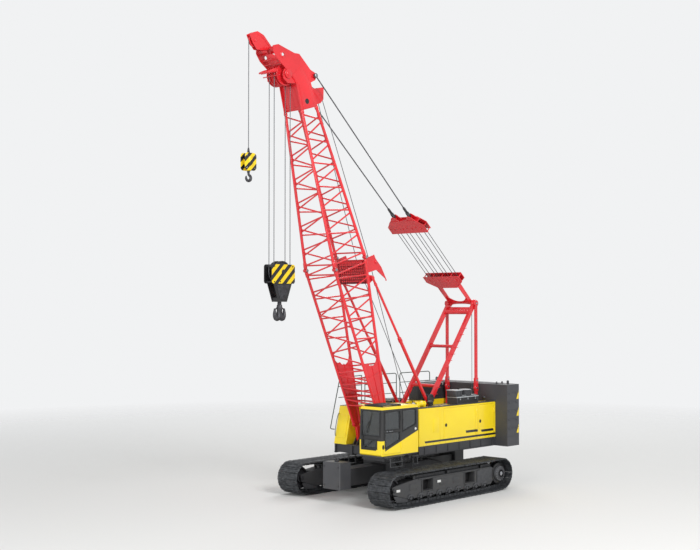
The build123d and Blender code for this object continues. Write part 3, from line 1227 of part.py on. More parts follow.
# the striped cheeks stand outside the sheaves; the dark yoke below them carries the hook
YOKE_TOP = MAIN_BLOCK_Z - 380
YOKE_BOTTOM = MAIN_BLOCK_Z - 1065
HOOK_SHANK = 62.0
with BuildPart() as main_block:
    for sign in (1, -1):
        with BuildSketch(side_plane(sign * (MAIN_BLOCK_THICKNESS / 2 - 15))):
            with Locations((axle.X, MAIN_BLOCK_Z - 72)):
                RectangleRounded(MAIN_BLOCK_LENGTH, 686, 90)
        extrude(amount=15, both=True)
        with BuildSketch(side_plane(sign * (MAIN_BLOCK_THICKNESS / 2 - 42))):
            with BuildLine():
                Polyline((axle.X - 450, YOKE_TOP), (axle.X + 450, YOKE_TOP), (axle.X + 200, YOKE_BOTTOM),
                         (axle.X - 200, YOKE_BOTTOM), close=True)
            make_face()
        extrude(amount=12.5, both=True)
    block((axle.X - 210, -MAIN_BLOCK_THICKNESS / 2 + 54, YOKE_BOTTOM),
          (axle.X + 210, MAIN_BLOCK_THICKNESS / 2 - 54, YOKE_BOTTOM + 150))
    disc(axle.X, MAIN_BLOCK_Z, -MAIN_BLOCK_THICKNESS / 2 - 20, MAIN_BLOCK_THICKNESS / 2 + 20, 60)
    with Locations((axle.X, 0, YOKE_BOTTOM + 75)):
        Cylinder(HOOK_SHANK + RUN, 300, mode=Mode.SUBTRACT)
save(main_block, "main_block")

with BuildPart() as main_block_sheaves:
    for y in (MAIN_SHEAVE_Y, -MAIN_SHEAVE_Y):
        with BuildSketch(side_plane(y)):
            with Locations((axle.X, MAIN_BLOCK_Z)):
                Circle(BLOCK_SHEAVE)
                Circle(60 + RUN, mode=Mode.SUBTRACT)
        extrude(amount=35, both=True)
save(main_block_sheaves, "main_block_sheaves")

with BuildPart() as main_hook:
    with Locations((axle.X, 0, (YOKE_BOTTOM + 190 + MAIN_HOOK_Z + 100) / 2)):
        Cylinder(HOOK_SHANK, YOKE_BOTTOM + 90 - MAIN_HOOK_Z)
    with Locations((axle.X, 0, YOKE_BOTTOM + 150 + SEAT + 30)):
        Cylinder(105, 60)
    with BuildSketch(side_plane(0)):
        with Locations((axle.X - 133, MAIN_HOOK_Z - 140), (axle.X + 133, MAIN_HOOK_Z - 140)):
            Circle(167)
        with Locations((axle.X, MAIN_HOOK_Z + 20)):
            Rectangle(150, 320)
        with Locations((axle.X - 146, MAIN_HOOK_Z - 105), (axle.X + 146, MAIN_HOOK_Z - 105)):
            Circle(70, mode=Mode.SUBTRACT)
        with Locations((axle.X - 170, MAIN_HOOK_Z + 10), (axle.X + 170, MAIN_HOOK_Z + 10)):
            Rectangle(134, 230, mode=Mode.SUBTRACT)
    extrude(amount=62, both=True)
save(main_hook, "main_hook")

aux_x = tip.X + TIP_SHEAVE + ROPE_RADIUS + RUN
with BuildPart() as aux_fall:
    bar(Vector(aux_x, 0, AUX_BLOCK_TOP), Vector(aux_x, 0, tip.Z), ROPE_RADIUS)
save(aux_fall, "aux_fall")

with BuildPart() as aux_block:
    with BuildSketch(side_plane(0)):
        with Locations((aux_x, AUX_BLOCK_TOP - AUX_BLOCK_HEIGHT / 2)):
            RectangleRounded(520, AUX_BLOCK_HEIGHT, 120)
    extrude(amount=130, both=True)
    with Locations((aux_x, 0, AUX_BLOCK_TOP - AUX_BLOCK_HEIGHT)):
        Cylinder(45 + RUN, 300, mode=Mode.SUBTRACT)
save(aux_block, "aux_block")

with BuildPart() as aux_hook:
    with Locations((aux_x, 0, AUX_BLOCK_TOP - AUX_BLOCK_HEIGHT + 10)):
        Cylinder(45, 280)
    with BuildSketch(side_plane(0)):
        with Locations((aux_x, AUX_HOOK_Z)):
            Circle(140)
        with Locations((aux_x, AUX_HOOK_Z + 130)):
            Rectangle(90, 160)
        with Locations((aux_x + 15, AUX_HOOK_Z + 15)):
            Circle(62, mode=Mode.SUBTRACT)
        with Locations((aux_x + 105, AUX_HOOK_Z + 75)):
            Rectangle(120, 110, mode=Mode.SUBTRACT)
    extrude(amount=40, both=True)
save(aux_hook, "aux_hook")
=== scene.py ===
import json
import math

import bpy
from mathutils import Matrix, Vector


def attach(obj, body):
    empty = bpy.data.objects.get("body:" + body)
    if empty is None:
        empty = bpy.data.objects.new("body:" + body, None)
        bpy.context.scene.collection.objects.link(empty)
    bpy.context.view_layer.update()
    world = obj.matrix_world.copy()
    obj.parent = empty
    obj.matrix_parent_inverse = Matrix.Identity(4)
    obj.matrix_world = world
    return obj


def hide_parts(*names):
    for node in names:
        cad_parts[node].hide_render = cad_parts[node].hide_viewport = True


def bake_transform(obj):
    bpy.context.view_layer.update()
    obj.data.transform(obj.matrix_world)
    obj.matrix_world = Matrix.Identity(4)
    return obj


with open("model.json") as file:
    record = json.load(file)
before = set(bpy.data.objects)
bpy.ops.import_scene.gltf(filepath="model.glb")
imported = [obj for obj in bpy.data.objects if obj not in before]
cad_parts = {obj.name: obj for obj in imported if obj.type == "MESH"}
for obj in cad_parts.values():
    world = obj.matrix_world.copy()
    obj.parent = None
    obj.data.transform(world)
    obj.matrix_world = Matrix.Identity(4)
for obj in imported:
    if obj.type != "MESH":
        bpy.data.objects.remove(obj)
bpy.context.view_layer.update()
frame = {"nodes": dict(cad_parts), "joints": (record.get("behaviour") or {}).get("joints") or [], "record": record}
joint_at = {joint["name"]: Vector(joint["pos_m"]) for joint in frame["joints"] if "pos_m" in joint}

# ---------------------------------------------------------------- places, in metres
X, Y, Z = Vector((1, 0, 0)), Vector((0, 1, 0)), Vector((0, 0, 1))
SIGNS = (1, -1)  # left and right
BOOM_ANGLE = math.radians(72.4)
BOOM_FOOT = joint_at["luff"]
ALONG = Vector((math.cos(BOOM_ANGLE), 0, math.sin(BOOM_ANGLE)))
BACK = Vector((-math.sin(BOOM_ANGLE), 0, math.cos(BOOM_ANGLE)))
GANTRY_TOP = joint_at["hoist_block_swing"]
MAIN_AXLE = joint_at["main_block_hang"]
TIP_AXLE = joint_at["aux_block_hang"]


def on_boom(along, back, side=0.0):
    """A point given along the boom from its foot pin, and back from its middle line."""
    return BOOM_FOOT + ALONG * along + BACK * back + Y * side


PENDANT_TOP = on_boom(14.09, 0.56)
HOIST_LINE = (PENDANT_TOP - GANTRY_TOP).normalized()
HOIST_UP = Vector((-HOIST_LINE.z, 0, HOIST_LINE.x))


def on_hoist(reach, above=0.0, side=0.0):
    """A point given along the boom hoist line from the gantry's top pin, and above it."""
    return GANTRY_TOP + HOIST_LINE * reach + HOIST_UP * above + Y * side


# planes to draw outlines in: the point that they start from, their first and their second direction
def side_view(y):
    return Y * y, X, Z


def boom_side(y):
    return BOOM_FOOT + Y * y, ALONG, BACK


def front_view(x):
    return X * x, Y, Z


def top_view(z):
    return Z * z, X, Y


# ---------------------------------------------------------------- finishes
def linear(colour):
    """An sRGB hex colour as linear red, green, blue and alpha."""
    parts = [int(colour[i:i + 2], 16) / 255 for i in (1, 3, 5)]
    return [c / 12.92 if c <= 0.04045 else ((c + 0.055) / 1.055) ** 2.4 for c in parts] + [1.0]


def fill(tree, node, inputs):
    """Fills a node's inputs, each with a value, a hex colour or another node's output."""
    for name, value in inputs.items():
        if isinstance(value, bpy.types.NodeSocket):
            tree.links.new(node.inputs[name], value)
        else:
            node.inputs[name].default_value = linear(value) if isinstance(value, str) else value


def add(tree, kind, inputs, output=0, **settings):
    """Adds a node with its settings and inputs, and gives one of its outputs."""
    node = tree.nodes.new("ShaderNode" + kind)
    for name, value in settings.items():
        setattr(node, name, value)
    fill(tree, node, inputs)
    return node.outputs[output]


def new_finish(name):
    """An empty material with its node tree and the place on the object."""
    material = bpy.data.materials.new(name)
    material.use_nodes = True
    return material, material.node_tree, add(material.node_tree, "TexCoord", {}, "Object")


def dress(material, inputs, bump=None):
    """Fills a material's shader; bump is a height, its strength and its depth in metres."""
    tree = material.node_tree
    if bump:
        height, strength, depth = bump
        inputs["Normal"] = add(tree, "Bump", {"Height": height, "Strength": strength, "Distance": depth}, "Normal")
    fill(tree, tree.nodes["Principled BSDF"], inputs)
    return material


def mottle(tree, place, size, low, high, detail=4.0):
    """Cloudy variation with patches of the given size in metres, from low to high."""
    cloud = add(tree, "TexNoise", {"Scale": 1.0 / size, "Detail": detail, "Vector": place}, "Fac")
    levels = {"From Min": 0.3, "From Max": 0.7, "To Min": low, "To Max": high, "Value": cloud}
    return add(tree, "MapRange", levels, "Result")


def inside(tree, place, fields):
    """1 inside one of the fields, else 0: a field is where each of its directions reaches past a limit."""
    areas = []
    for field in fields:
        area = None
        for direction, limit in field:
            reach = add(tree, "VectorMath", {0: place, 1: direction}, "Value", operation="DOT_PRODUCT")
            past = add(tree, "Math", {0: reach, 1: limit}, operation="GREATER_THAN")
            area = past if area is None else add(tree, "Math", {0: area, 1: past}, operation="MULTIPLY")
        areas.append(area)
    total = areas[0]
    for area in areas[1:]:
        total = add(tree, "Math", {0: total, 1: area}, operation="MAXIMUM")
    return total


def enamel(name, colour, deep, dust, gloss, coat=0.0, black_fields=()):
    """Sprayed machine enamel: an even colour with slow drifts of shade, road dust low down and fine orange peel."""
    material, tree, place = new_finish(name)
    shade = add(tree, "Mix", {0: mottle(tree, place, 1.6, 0.0, 1.0), 6: colour, 7: deep}, 2, data_type="RGBA")
    height = add(tree, "SeparateXYZ", {"Vector": place}, "Z")
    low_down = add(tree, "MapRange", {"From Min": 0.2, "From Max": 2.0, "To Min": 0.35, "To Max": 0.02,
                                      "Value": height}, "Result")
    patches = mottle(tree, place, 0.35, 0.15, 1.0, 8.0)
    amount = add(tree, "Math", {0: low_down, 1: patches}, operation="MULTIPLY")
    shade = add(tree, "Mix", {0: amount, 6: shade, 7: dust}, 2, data_type="RGBA")
    if black_fields:
        marks = inside(tree, place, black_fields)
        shade = add(tree, "Mix", {0: marks, 6: shade, 7: "#18181a"}, 2, data_type="RGBA")
    # orange peel, drawn at 30 mm so that it can be seen at all
    peel = add(tree, "TexNoise", {"Scale": 33.0, "Detail": 2.0, "Vector": place}, "Fac")
    return dress(material, {"Base Color": shade, "IOR": 1.5, "Coat Weight": coat, "Coat Roughness": 0.1,
                            "Roughness": mottle(tree, place, 0.5, gloss, gloss + 0.12, 6.0)}, (peel, 0.05, 0.004))


def worn_metal(name, colour, bright, gloss, metallic, grain=0.02):
    """Bare or blackened steel: cast or rolled skin with brighter rubbed patches and a fine grain."""
    material, tree, place = new_finish(name)
    rubbed = mottle(tree, place, 0.12, 0.0, 0.7, 8.0)
    skin = add(tree, "TexNoise", {"Scale": 1.0 / grain, "Detail": 4.0, "Vector": place}, "Fac")
    return dress(material, {"Base Color": add(tree, "Mix", {0: rubbed, 6: colour, 7: bright}, 2, data_type="RGBA"),
                            "Roughness": mottle(tree, place, 0.09, gloss, gloss + 0.2, 6.0),
                            "Metallic": metallic}, (skin, 0.15, 0.004))


def moulded(name, colour, worn, gloss):
    """Moulded rubber or plastic with a fine even grain."""
    material, tree, place = new_finish(name)
    patches = mottle(tree, place, 0.25, 0.0, 1.0)
    grain = add(tree, "TexNoise", {"Scale": 120.0, "Vector": place}, "Fac")
    return dress(material, {"Base Color": add(tree, "Mix", {0: patches, 6: colour, 7: worn}, 2, data_type="RGBA"),
                            "Roughness": mottle(tree, place, 0.1, gloss, gloss + 0.12)}, (grain, 0.15, 0.002))


def wire_rope():
    """Greased steel wire rope: strands laid at a slant, drawn 40 mm apart so that they show, dark between them."""
    material, tree, place = new_finish("greased steel wire rope")
    lay = add(tree, "TexWave", {"Scale": 8.0, "Distortion": 0.3, "Vector": place}, "Fac", bands_direction="DIAGONAL")
    return dress(material, {"Base Color": add(tree, "Mix", {0: lay, 6: "#4a4b4e", 7: "#6a6c70"}, 2, data_type="RGBA"),
                            "Roughness": mottle(tree, place, 0.3, 0.3, 0.5), "Metallic": 0.7}, (lay, 0.4, 0.003))


def warning_stripes(name, period):
    """Warning enamel: black and yellow bands, leaning at 45 degrees on the plates' sides."""
    material, tree, place = new_finish(name)
    slant = 1.0 / period
    bands = add(tree, "VectorMath", {0: place, 1: (slant, 0, slant)}, "Value", operation="DOT_PRODUCT")
    saw = add(tree, "Math", {0: bands}, operation="FRACT")
    edge = add(tree, "Math", {0: saw, 1: 0.5}, operation="GREATER_THAN")
    faded = mottle(tree, place, 0.4, 0.0, 1.0)
    yellow = add(tree, "Mix", {0: faded, 6: "#f2d21c", 7: "#e0bd10"}, 2, data_type="RGBA")
    return dress(material, {"Base Color": add(tree, "Mix", {0: edge, 6: "#17171a", 7: yellow}, 2, data_type="RGBA"),
                            "Roughness": mottle(tree, place, 0.2, 0.3, 0.45)})


def tinted_glass():
    """Smoked safety glass: neutral, clear enough to show the seat behind it; its dark tint is lightened to a mid grey
    as a painted reflection.
    """
    material, tree, place = new_finish("smoked safety glass")
    return dress(material, {"Base Color": "#74797c", "Roughness": mottle(tree, place, 0.5, 0.02, 0.08),
                            "Transmission Weight": 0.75, "IOR": 1.45})


def lamp_glass():
    """Clear ribbed lamp glass over a bright reflector: the reflector's brightness is painted as a reflection into one
    pale glossy face, with lighter bands along the ribs as painted highlights.
    """
    material, tree, place = new_finish("clear ribbed lamp glass")
    ribs = add(tree, "TexWave", {"Scale": 12.0, "Vector": place}, "Fac")
    return dress(material, {"Base Color": add(tree, "Mix", {0: ribs, 6: "#c9ccce", 7: "#eef0f0"}, 2, data_type="RGBA"),
                            "Roughness": mottle(tree, place, 0.05, 0.05, 0.15)})


# black fields on the yellow paint: pairs of a direction and the least reach along it
UNDER_ROOF, BEHIND_FRONT, ON_FRONT = ((0, 0, -1), -3.525), ((-1, 0, 0), -2.88), ((1, 0, 0), 2.88)
CAB_BLACK = (
    # the sides' window band, whose lower edge rises to the rear, the front above its sill, and its inner corner
    (((0.345, 0, 1), 2.9964), BEHIND_FRONT, UNDER_ROOF),
    (((0, 0, 1), 2.39), ON_FRONT, UNDER_ROOF),
    (((0, 1, 0), 0.93), ((0, -1, 0), -1.68), ((0, 0, 1), 2.03), ON_FRONT, UNDER_ROOF),
)
HOUSE_BLACK = [
    # bands on the left side, whose ends lean forward: X less half of Z from and to, Z from and to
    (((1, 0, -0.5), low), ((-1, 0, 0.5), -high), ((0, 0, 1), bottom), ((0, 0, -1), -top), ((0, 1, 0), 1.59))
    for low, high, bottom, top in ((-5.6, -0.85, 2.045, 2.125), (-4.33, -3.54, 2.25, 2.35), (-5.36, -4.54, 2.21, 2.31))
]

LEMON = ("#fbe01a", "#f5d312", "#b8a24c", 0.28, 0.4)
RED = enamel("signal red machine enamel", "#e0222c", "#c81822", "#8c4a40", 0.28, 0.4)
YELLOW = enamel("lemon yellow machine enamel", *LEMON)
CAB_PAINT = enamel("lemon yellow enamel with a satin black window band", *LEMON, CAB_BLACK)
HOUSE_PAINT = enamel("lemon yellow enamel with black trim stripes", *LEMON, HOUSE_BLACK)
GREY = enamel("iron grey chassis enamel", "#3a3b3e", "#303134", "#4c4a46", 0.42)
DARK = enamel("anthracite deck enamel", "#37383b", "#2c2d30", "#484642", 0.45)
WEIGHT = enamel("graphite counterweight enamel", "#46474b", "#3b3c40", "#504e4a", 0.5)
RAIL = enamel("dark green handrail enamel", "#4b5a54", "#404e49", "#5b5a52", 0.4)
# the lids' light grey is a painted highlight of the roof boxes' bright tops
LID = enamel("light grey roof enamel as a painted highlight", "#a9adaf", "#989c9e", "#8b867c", 0.4)
FLOOR_PLATE = enamel("dark walkway enamel", "#3c3e41", "#2f3134", "#6b655c", 0.5)
TRACK = worn_metal("cast manganese track steel", "#28292b", "#616468", 0.4, 0.5)
STEEL = worn_metal("blackened forged steel", "#2c2c2e", "#55555a", 0.4, 0.6)
BRIGHT = worn_metal("ground pin steel", "#8e9196", "#b4b6ba", 0.22, 0.95, 0.01)
CAST = worn_metal("painted cast iron", "#3a3b3e", "#4d4e51", 0.5, 0.1, 0.03)
ROPE_STEEL = wire_rope()
STRIPES = warning_stripes("black and yellow warning enamel", 0.4)
SMALL_STRIPES = warning_stripes("narrow black and yellow warning enamel", 0.36)
GLASS = tinted_glass()
LAMP_GLASS = lamp_glass()
VINYL = moulded("charcoal seat vinyl", "#1d1d20", "#2a2a2d", 0.5)
RUBBER = moulded("black window rubber", "#141415", "#202021", 0.55)
BLACK = moulded("satin black enamel", "#161617", "#1e1e20", 0.35)
WHITE = moulded("white lamp enamel", "#dcdddb", "#cfd0ce", 0.35)

# each slot of the record with its own finish first, and the finishes that go with it on added pieces
FINISHES_OF_SLOT = {
    "red_enamel": (RED,), "yellow_enamel": (YELLOW, CAB_PAINT, HOUSE_PAINT),
    "grey_enamel": (GREY, DARK, LID, FLOOR_PLATE), "weight_grey": (WEIGHT,), "track_steel": (TRACK,),
    "dark_steel": (STEEL, BRIGHT, CAST, RUBBER, BLACK), "striped_block": (STRIPES, SMALL_STRIPES),
    "wire_rope": (ROPE_STEEL,), "rail_steel": (RAIL,),
    "cab_glass": (GLASS, LAMP_GLASS, WHITE), "seat_vinyl": (VINYL,),
}
FINISH_OF_NODE = {"cab": CAB_PAINT, "cab_door": CAB_PAINT, "left_house": HOUSE_PAINT, "left_door_middle": HOUSE_PAINT,
                  "left_door_rear": HOUSE_PAINT, "roof_units": DARK, "main_block": BLACK}
for subpart in frame["record"]["subparts"]:
    node = frame["nodes"][subpart["node"]]
    node.data.materials.clear()
    node.data.materials.append(FINISH_OF_NODE.get(subpart["node"], FINISHES_OF_SLOT[subpart["material_slot"]][0]))


# ---------------------------------------------------------------- making pieces
def clear_selection():
    """Nothing is selected after this."""
    if bpy.context.mode != "OBJECT":
        bpy.ops.object.mode_set(mode="OBJECT")
    bpy.ops.object.select_all(action="DESELECT")


def take(piece):
    """Selects one piece alone."""
    clear_selection()
    piece.select_set(True)
    bpy.context.view_layer.objects.active = piece
    return piece


def close(piece):
    """Merges a piece's doubles and turns its faces outwards."""
    take(piece)
    bpy.ops.object.mode_set(mode="EDIT")
    bpy.ops.mesh.select_all(action="SELECT")
    bpy.ops.mesh.remove_doubles(threshold=0.0002)
    bpy.ops.mesh.normals_make_consistent(inside=False)
    bpy.ops.object.mode_set(mode="OBJECT")
    return piece


def slab(low, high, rim=0.006, segments=2):
    """A box between two corners, with rounded or, with one segment, chamfered edges."""
    clear_selection()
    size = [b - a for a, b in zip(low, high)]
    bpy.ops.mesh.primitive_cube_add(size=1, location=[(a + b) / 2 for a, b in zip(low, high)])
    piece = bpy.context.view_layer.objects.active
    piece.scale = size
    bpy.ops.object.transform_apply(location=True, rotation=True, scale=True)
    bpy.ops.object.mode_set(mode="EDIT")
    bpy.ops.mesh.bevel(offset=min(rim, 0.3 * min(size)), segments=segments, affect="EDGES")
    bpy.ops.object.mode_set(mode="OBJECT")
    return piece


def rod(start, end, radius, rim=0.004, sides=20):
    """A round bar between two points, with rounded rims."""
    clear_selection()
    start, end = Vector(start), Vector(end)
    line = end - start
    bpy.ops.mesh.primitive_cone_add(vertices=sides, radius1=radius, radius2=radius, depth=line.length,
                                    location=(start + end) / 2, rotation=line.to_track_quat("Z", "Y").to_euler())
    piece = bpy.context.view_layer.objects.active
    bpy.ops.object.transform_apply(location=True, rotation=True, scale=True)
    bpy.ops.object.mode_set(mode="EDIT")
    bpy.ops.mesh.select_mode(type="FACE")
    bpy.ops.mesh.select_all(action="DESELECT")
    bpy.ops.mesh.select_face_by_sides(number=4, type="GREATER")
    bpy.ops.mesh.bevel(offset=min(rim, 0.3 * radius), segments=2, affect="EDGES")
    bpy.ops.object.mode_set(mode="OBJECT")
    return piece


def pin(place, axis, low, high, radius, rim=0.004, sides=6):
    """A round or, with six sides, hexagonal bar along an axis through a place, from low to high."""
    place = Vector(place)
    return rod(place + axis * low, place + axis * high, radius, rim, sides)


def turned(profile, centre, axis, steps=28):
    """A turned shape: the profile's points are places along the axis and distances from it.

    A profile that stays off the axis is closed into a ring."""
    clear_selection()
    if profile[0][1] and profile[-1][1]:
        profile = [*profile, profile[0]]
    axis = Vector(axis).normalized()
    across = axis.orthogonal().normalized()
    mesh = bpy.data.meshes.new("turned")
    mesh.from_pydata([Vector(centre) + axis * place + across * radius for place, radius in profile],
                     [(i, i + 1) for i in range(len(profile) - 1)], [])
    piece = bpy.data.objects.new("turned", mesh)
    bpy.context.scene.collection.objects.link(piece)
    take(piece)
    bpy.ops.object.mode_set(mode="EDIT")
    bpy.ops.mesh.select_all(action="SELECT")
    bpy.ops.mesh.spin(steps=steps, angle=2 * math.pi, center=centre, axis=axis)
    bpy.ops.object.mode_set(mode="OBJECT")
    return close(piece)


def knob(profile, centre, axis, steps=28):
    """A turned solid: both ends of the profile are closed at the axis."""
    return turned([(profile[0][0], 0.0), *profile, (profile[-1][0], 0.0)], centre, axis, steps)


def circle(radius, count=16, centre=(0, 0), start=0.0):
    """Points of a circle."""
    angles = [start + 2 * math.pi * i / count for i in range(count)]
    return [(centre[0] + radius * math.cos(a), centre[1] + radius * math.sin(a)) for a in angles]


def box(low_x, high_x, low_y, high_y):
    """The outline of a rectangle."""
    return [(low_x, low_y), (high_x, low_y), (high_x, high_y), (low_x, high_y)]


def round_box(x, y, half_x, half_y, radius):
    """The outline of a rectangle with round corners: half sizes go to the corners' centres."""
    points = []
    for i, (cx, cy) in enumerate(((half_x, half_y), (-half_x, half_y), (-half_x, -half_y), (half_x, -half_y))):
        for step in range(7):
            a = math.radians(90 * i + 15 * step)
            points.append((x + cx + radius * math.cos(a), y + cy + radius * math.sin(a)))
    return points


def grown(points, amount):
    """A convex outline moved outwards by an amount, or inwards by a negative one."""
    area = sum(x0 * y1 - x1 * y0 for (x0, y0), (x1, y1) in zip(points, points[1:] + points[:1]))
    amount = amount if area > 0 else -amount
    corners = []
    for before, here, after in zip(points[-1:] + points[:-1], points, points[1:] + points[:1]):
        first, second = (Vector(here) - Vector(before)).normalized(), (Vector(after) - Vector(here)).normalized()
        across = Vector((first.y, -first.x))
        normal = (across + Vector((second.y, -second.x))).normalized()
        corners.append(tuple(Vector(here) + normal * (amount / normal.dot(across))))
    return corners


def from_curve(curve):
    """A mesh object made from a curve."""
    piece = bpy.data.objects.new(curve.name, curve)
    bpy.context.scene.collection.objects.link(piece)
    take(piece)
    bpy.ops.object.convert(target="MESH")
    return bpy.context.view_layer.objects.active


def plate(outline, plane, thickness, rim=0.003, holes=()):
    """A flat plate, centred on a plane, with an outline and holes drawn in it and with rounded rims."""
    clear_selection()
    curve = bpy.data.curves.new("plate", "CURVE")
    curve.dimensions = "2D"
    curve.fill_mode = "BOTH"
    for points in (outline, *holes):
        spline = curve.splines.new("POLY")
        spline.points.add(len(points) - 1)
        for point, place in zip(spline.points, points):
            point.co = (*place, 0, 1)
        spline.use_cyclic_u = True
    curve.extrude = max(thickness / 2 - rim, 0.0)
    curve.bevel_depth = rim
    curve.bevel_resolution = 1
    curve.offset = -rim
    piece = from_curve(curve)
    start, first, second = plane
    piece.matrix_world = Matrix([*zip(first, second, first.cross(second), start), (0, 0, 0, 1)])
    bpy.ops.object.transform_apply(location=True, rotation=True, scale=True)
    return close(piece)


def swept(points, radius, order=2, radii=None, steps=6, fineness=2):
    """A round bar swept along points: straight between them, or with order 3 in a curve that they pull."""
    clear_selection()
    curve = bpy.data.curves.new("swept", "CURVE")
    curve.dimensions = "3D"
    curve.resolution_u = steps
    spline = curve.splines.new("POLY" if order == 2 else "NURBS")
    spline.points.add(len(points) - 1)
    for point, place, thick in zip(spline.points, points, radii or [radius] * len(points)):
        point.co = (*place, 1.0)
        point.radius = thick / radius
    if order == 3:
        spline.order_u = 3
        spline.use_endpoint_u = True
    curve.bevel_depth = radius
    curve.bevel_resolution = fineness
    curve.use_fill_caps = True
    return from_curve(curve)


def bent_pipe(points, radius, steps=6):
    """A pipe that rounds the corners between the given points."""
    return swept(points, radius, 3, steps=steps)


def joined(pieces):
    """Several made pieces as one object."""
    clear_selection()
    for piece in pieces:
        piece.select_set(True)
    bpy.context.view_layer.objects.active = pieces[0]
    if len(pieces) > 1:
        bpy.ops.object.join()
    return bpy.context.view_layer.objects.active


def copies(piece, moves):
    """Copies of a made piece, one for each move, joined; the piece itself is used up."""
    made = []
    for move in moves:
        copy = piece.copy()
        copy.data = piece.data.copy()
        copy.data.transform(move)
        if move.determinant() < 0:
            copy.data.flip_normals()
        bpy.context.scene.collection.objects.link(copy)
        made.append(copy)
    bpy.data.objects.remove(piece)
    return joined(made)


def shift(x=0.0, y=0.0, z=0.0):
    return Matrix.Translation((x, y, z))


HERE = Matrix.Identity(4)
MIRROR = Matrix.Scale(-1, 4, Y)


def both(pieces):
    """Pieces of the left side, joined, together with their mirror image on the right side."""
    return copies(joined(pieces), (HERE, MIRROR))


def settle(pieces, name, body, finish, smooth=40, replaces=()):
    """Joins finished pieces under a name, gives them a finish and lets them ride on a body; given a tuple of two bodies
    and two points, which is not read further, it leaves them in place on no body.
    """
    piece = take(joined(pieces) if isinstance(pieces, list) else pieces)
    bpy.ops.object.transform_apply(location=True, rotation=True, scale=True)
    if smooth:
        bpy.ops.object.shade_smooth_by_angle(angle=math.radians(smooth))
    piece.name = name
    piece.data.name = name
    piece.data.materials.clear()
    piece.data.materials.append(finish)
    if isinstance(body, tuple):
        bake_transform(piece)
    else:
        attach(piece, body)
    if replaces:
        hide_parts(*replaces)
    return piece


def wrap(centre, radius, start, sweep, first=X, second=Z, steps=16):
    """Points of an arc round a sheave, from a start angle through a sweep, in degrees."""
    angles = [math.radians(start + sweep * i / steps) for i in range(steps + 1)]
    return [centre + (first * math.cos(a) + second * math.sin(a)) * radius for a in angles]


def sheave(centre, axis, radius, groove, half_width, hub):
    """A rope sheave: a grooved rim, a thin web and a hub round its pin."""
    half = [(1, hub), (1, hub * 1.7), (0.35, hub * 1.9), (0.35, radius - groove * 2.6), (1, radius - groove * 2.2),
            (1, radius), (0.75, radius), (0.35, radius - groove)]
    profile = [(-half_width * share, r) for share, r in half] + [(half_width * share, r) for share, r in reversed(half)]
    return turned(profile, centre, axis, 40)


def bolt_heads(places, axis, radius=0.016, height=0.012):
    """Hexagon bolt heads standing on a face."""
    return joined([pin(place, axis, -0.004, height, radius, 0.003) for place in places])


# ---------------------------------------------------------------- tracks
TRACK_Y = 2.37
END_X, END_Z, END_RADIUS = 3.165, 0.665, 0.615
GROUND_HALF = 2.628
SHOE_COUNT = 66
FRAME_OUTER = TRACK_Y + 0.25
ROLLER_Z = 0.2923
AXLE_PLACES = (1.28, -1.28)
RAMP_REACH = math.hypot(END_X - GROUND_HALF, END_Z)
RAMP_RISE = math.atan2(END_Z, END_X - GROUND_HALF) - math.asin(END_RADIUS / RAMP_REACH)
RAMP = math.sqrt(RAMP_REACH ** 2 - END_RADIUS ** 2)
TURN_END = GROUND_HALF + RAMP + END_RADIUS * (math.pi - RAMP_RISE)
TRACK_LINE = 2 * (TURN_END + END_X)


def track_place(distance):
    """Where the track's outer line is and how it heads, at a distance from the middle of its ground run."""
    behind = distance > TRACK_LINE / 2
    run = TRACK_LINE - distance if behind else distance
    if run < GROUND_HALF:
        x, z, angle = run, 0.0, 0.0
    elif run < GROUND_HALF + RAMP:
        angle = RAMP_RISE
        x, z = GROUND_HALF + (run - GROUND_HALF) * math.cos(angle), (run - GROUND_HALF) * math.sin(angle)
    elif run < TURN_END:
        angle = RAMP_RISE + (run - GROUND_HALF - RAMP) / END_RADIUS
        x, z = END_X + END_RADIUS * math.sin(angle), END_Z - END_RADIUS * math.cos(angle)
    else:
        x, z, angle = END_X - (run - TURN_END), END_Z + END_RADIUS, math.pi
    if behind:
        x, angle = -x, -angle
    return shift(x, TRACK_Y, z) @ Matrix.Rotation(-angle, 4, "Y")


def at_both(x, z):
    """Moves to a place in the middle of the left track and of the right one."""
    return [shift(x, sign * TRACK_Y, z) for sign in SIGNS]


# a shoe lies under the origin with its chain links up: a pad whose ends are drawn in, grousers, links and guide horns
pad = slab((-0.116, -0.53, 0.026), (0.116, 0.53, 0.055), 0.008, 1)
take(pad)
bpy.ops.object.mode_set(mode="EDIT")
bpy.ops.mesh.select_mode(type="FACE")
bpy.ops.mesh.select_all(action="DESELECT")
bpy.ops.object.mode_set(mode="OBJECT")
for face in pad.data.polygons:
    face.select = abs(face.normal.y) > 0.9
bpy.ops.object.mode_set(mode="EDIT")
bpy.ops.mesh.inset(thickness=0.006)
bpy.ops.transform.resize(value=(0.7, 1.0, 0.8))
bpy.ops.object.mode_set(mode="OBJECT")
SHOE_BARS = (
    ((-0.098, -0.515, 0.0), (-0.058, 0.515, 0.03), 0.008), ((0.058, -0.515, 0.0), (0.098, 0.515, 0.03), 0.008),
    ((-0.02, -0.5, 0.008), (0.02, -0.2, 0.03), 0.006), ((-0.02, 0.2, 0.008), (0.02, 0.5, 0.03), 0.006),
    ((-0.125, -0.165, 0.05), (0.1, -0.115, 0.168), 0.014), ((-0.125, 0.115, 0.05), (0.1, 0.165, 0.168), 0.014),
    ((-0.1, -0.1, 0.05), (0.125, -0.06, 0.15), 0.012), ((-0.1, 0.06, 0.05), (0.125, 0.1, 0.15), 0.012),
)
shoe = joined([pad] + [slab(low, high, chamfer, 1) for low, high, chamfer in SHOE_BARS])
track = copies(shoe, [track_place(i * TRACK_LINE / SHOE_COUNT) for i in range(SHOE_COUNT)])
for side, move in (("left", HERE), ("right", MIRROR)):
    settle(copies(track.copy(), [move]), "track_shoes_" + side, "undercarriage", TRACK, 30, ("track_" + side,))
bpy.data.objects.remove(track)

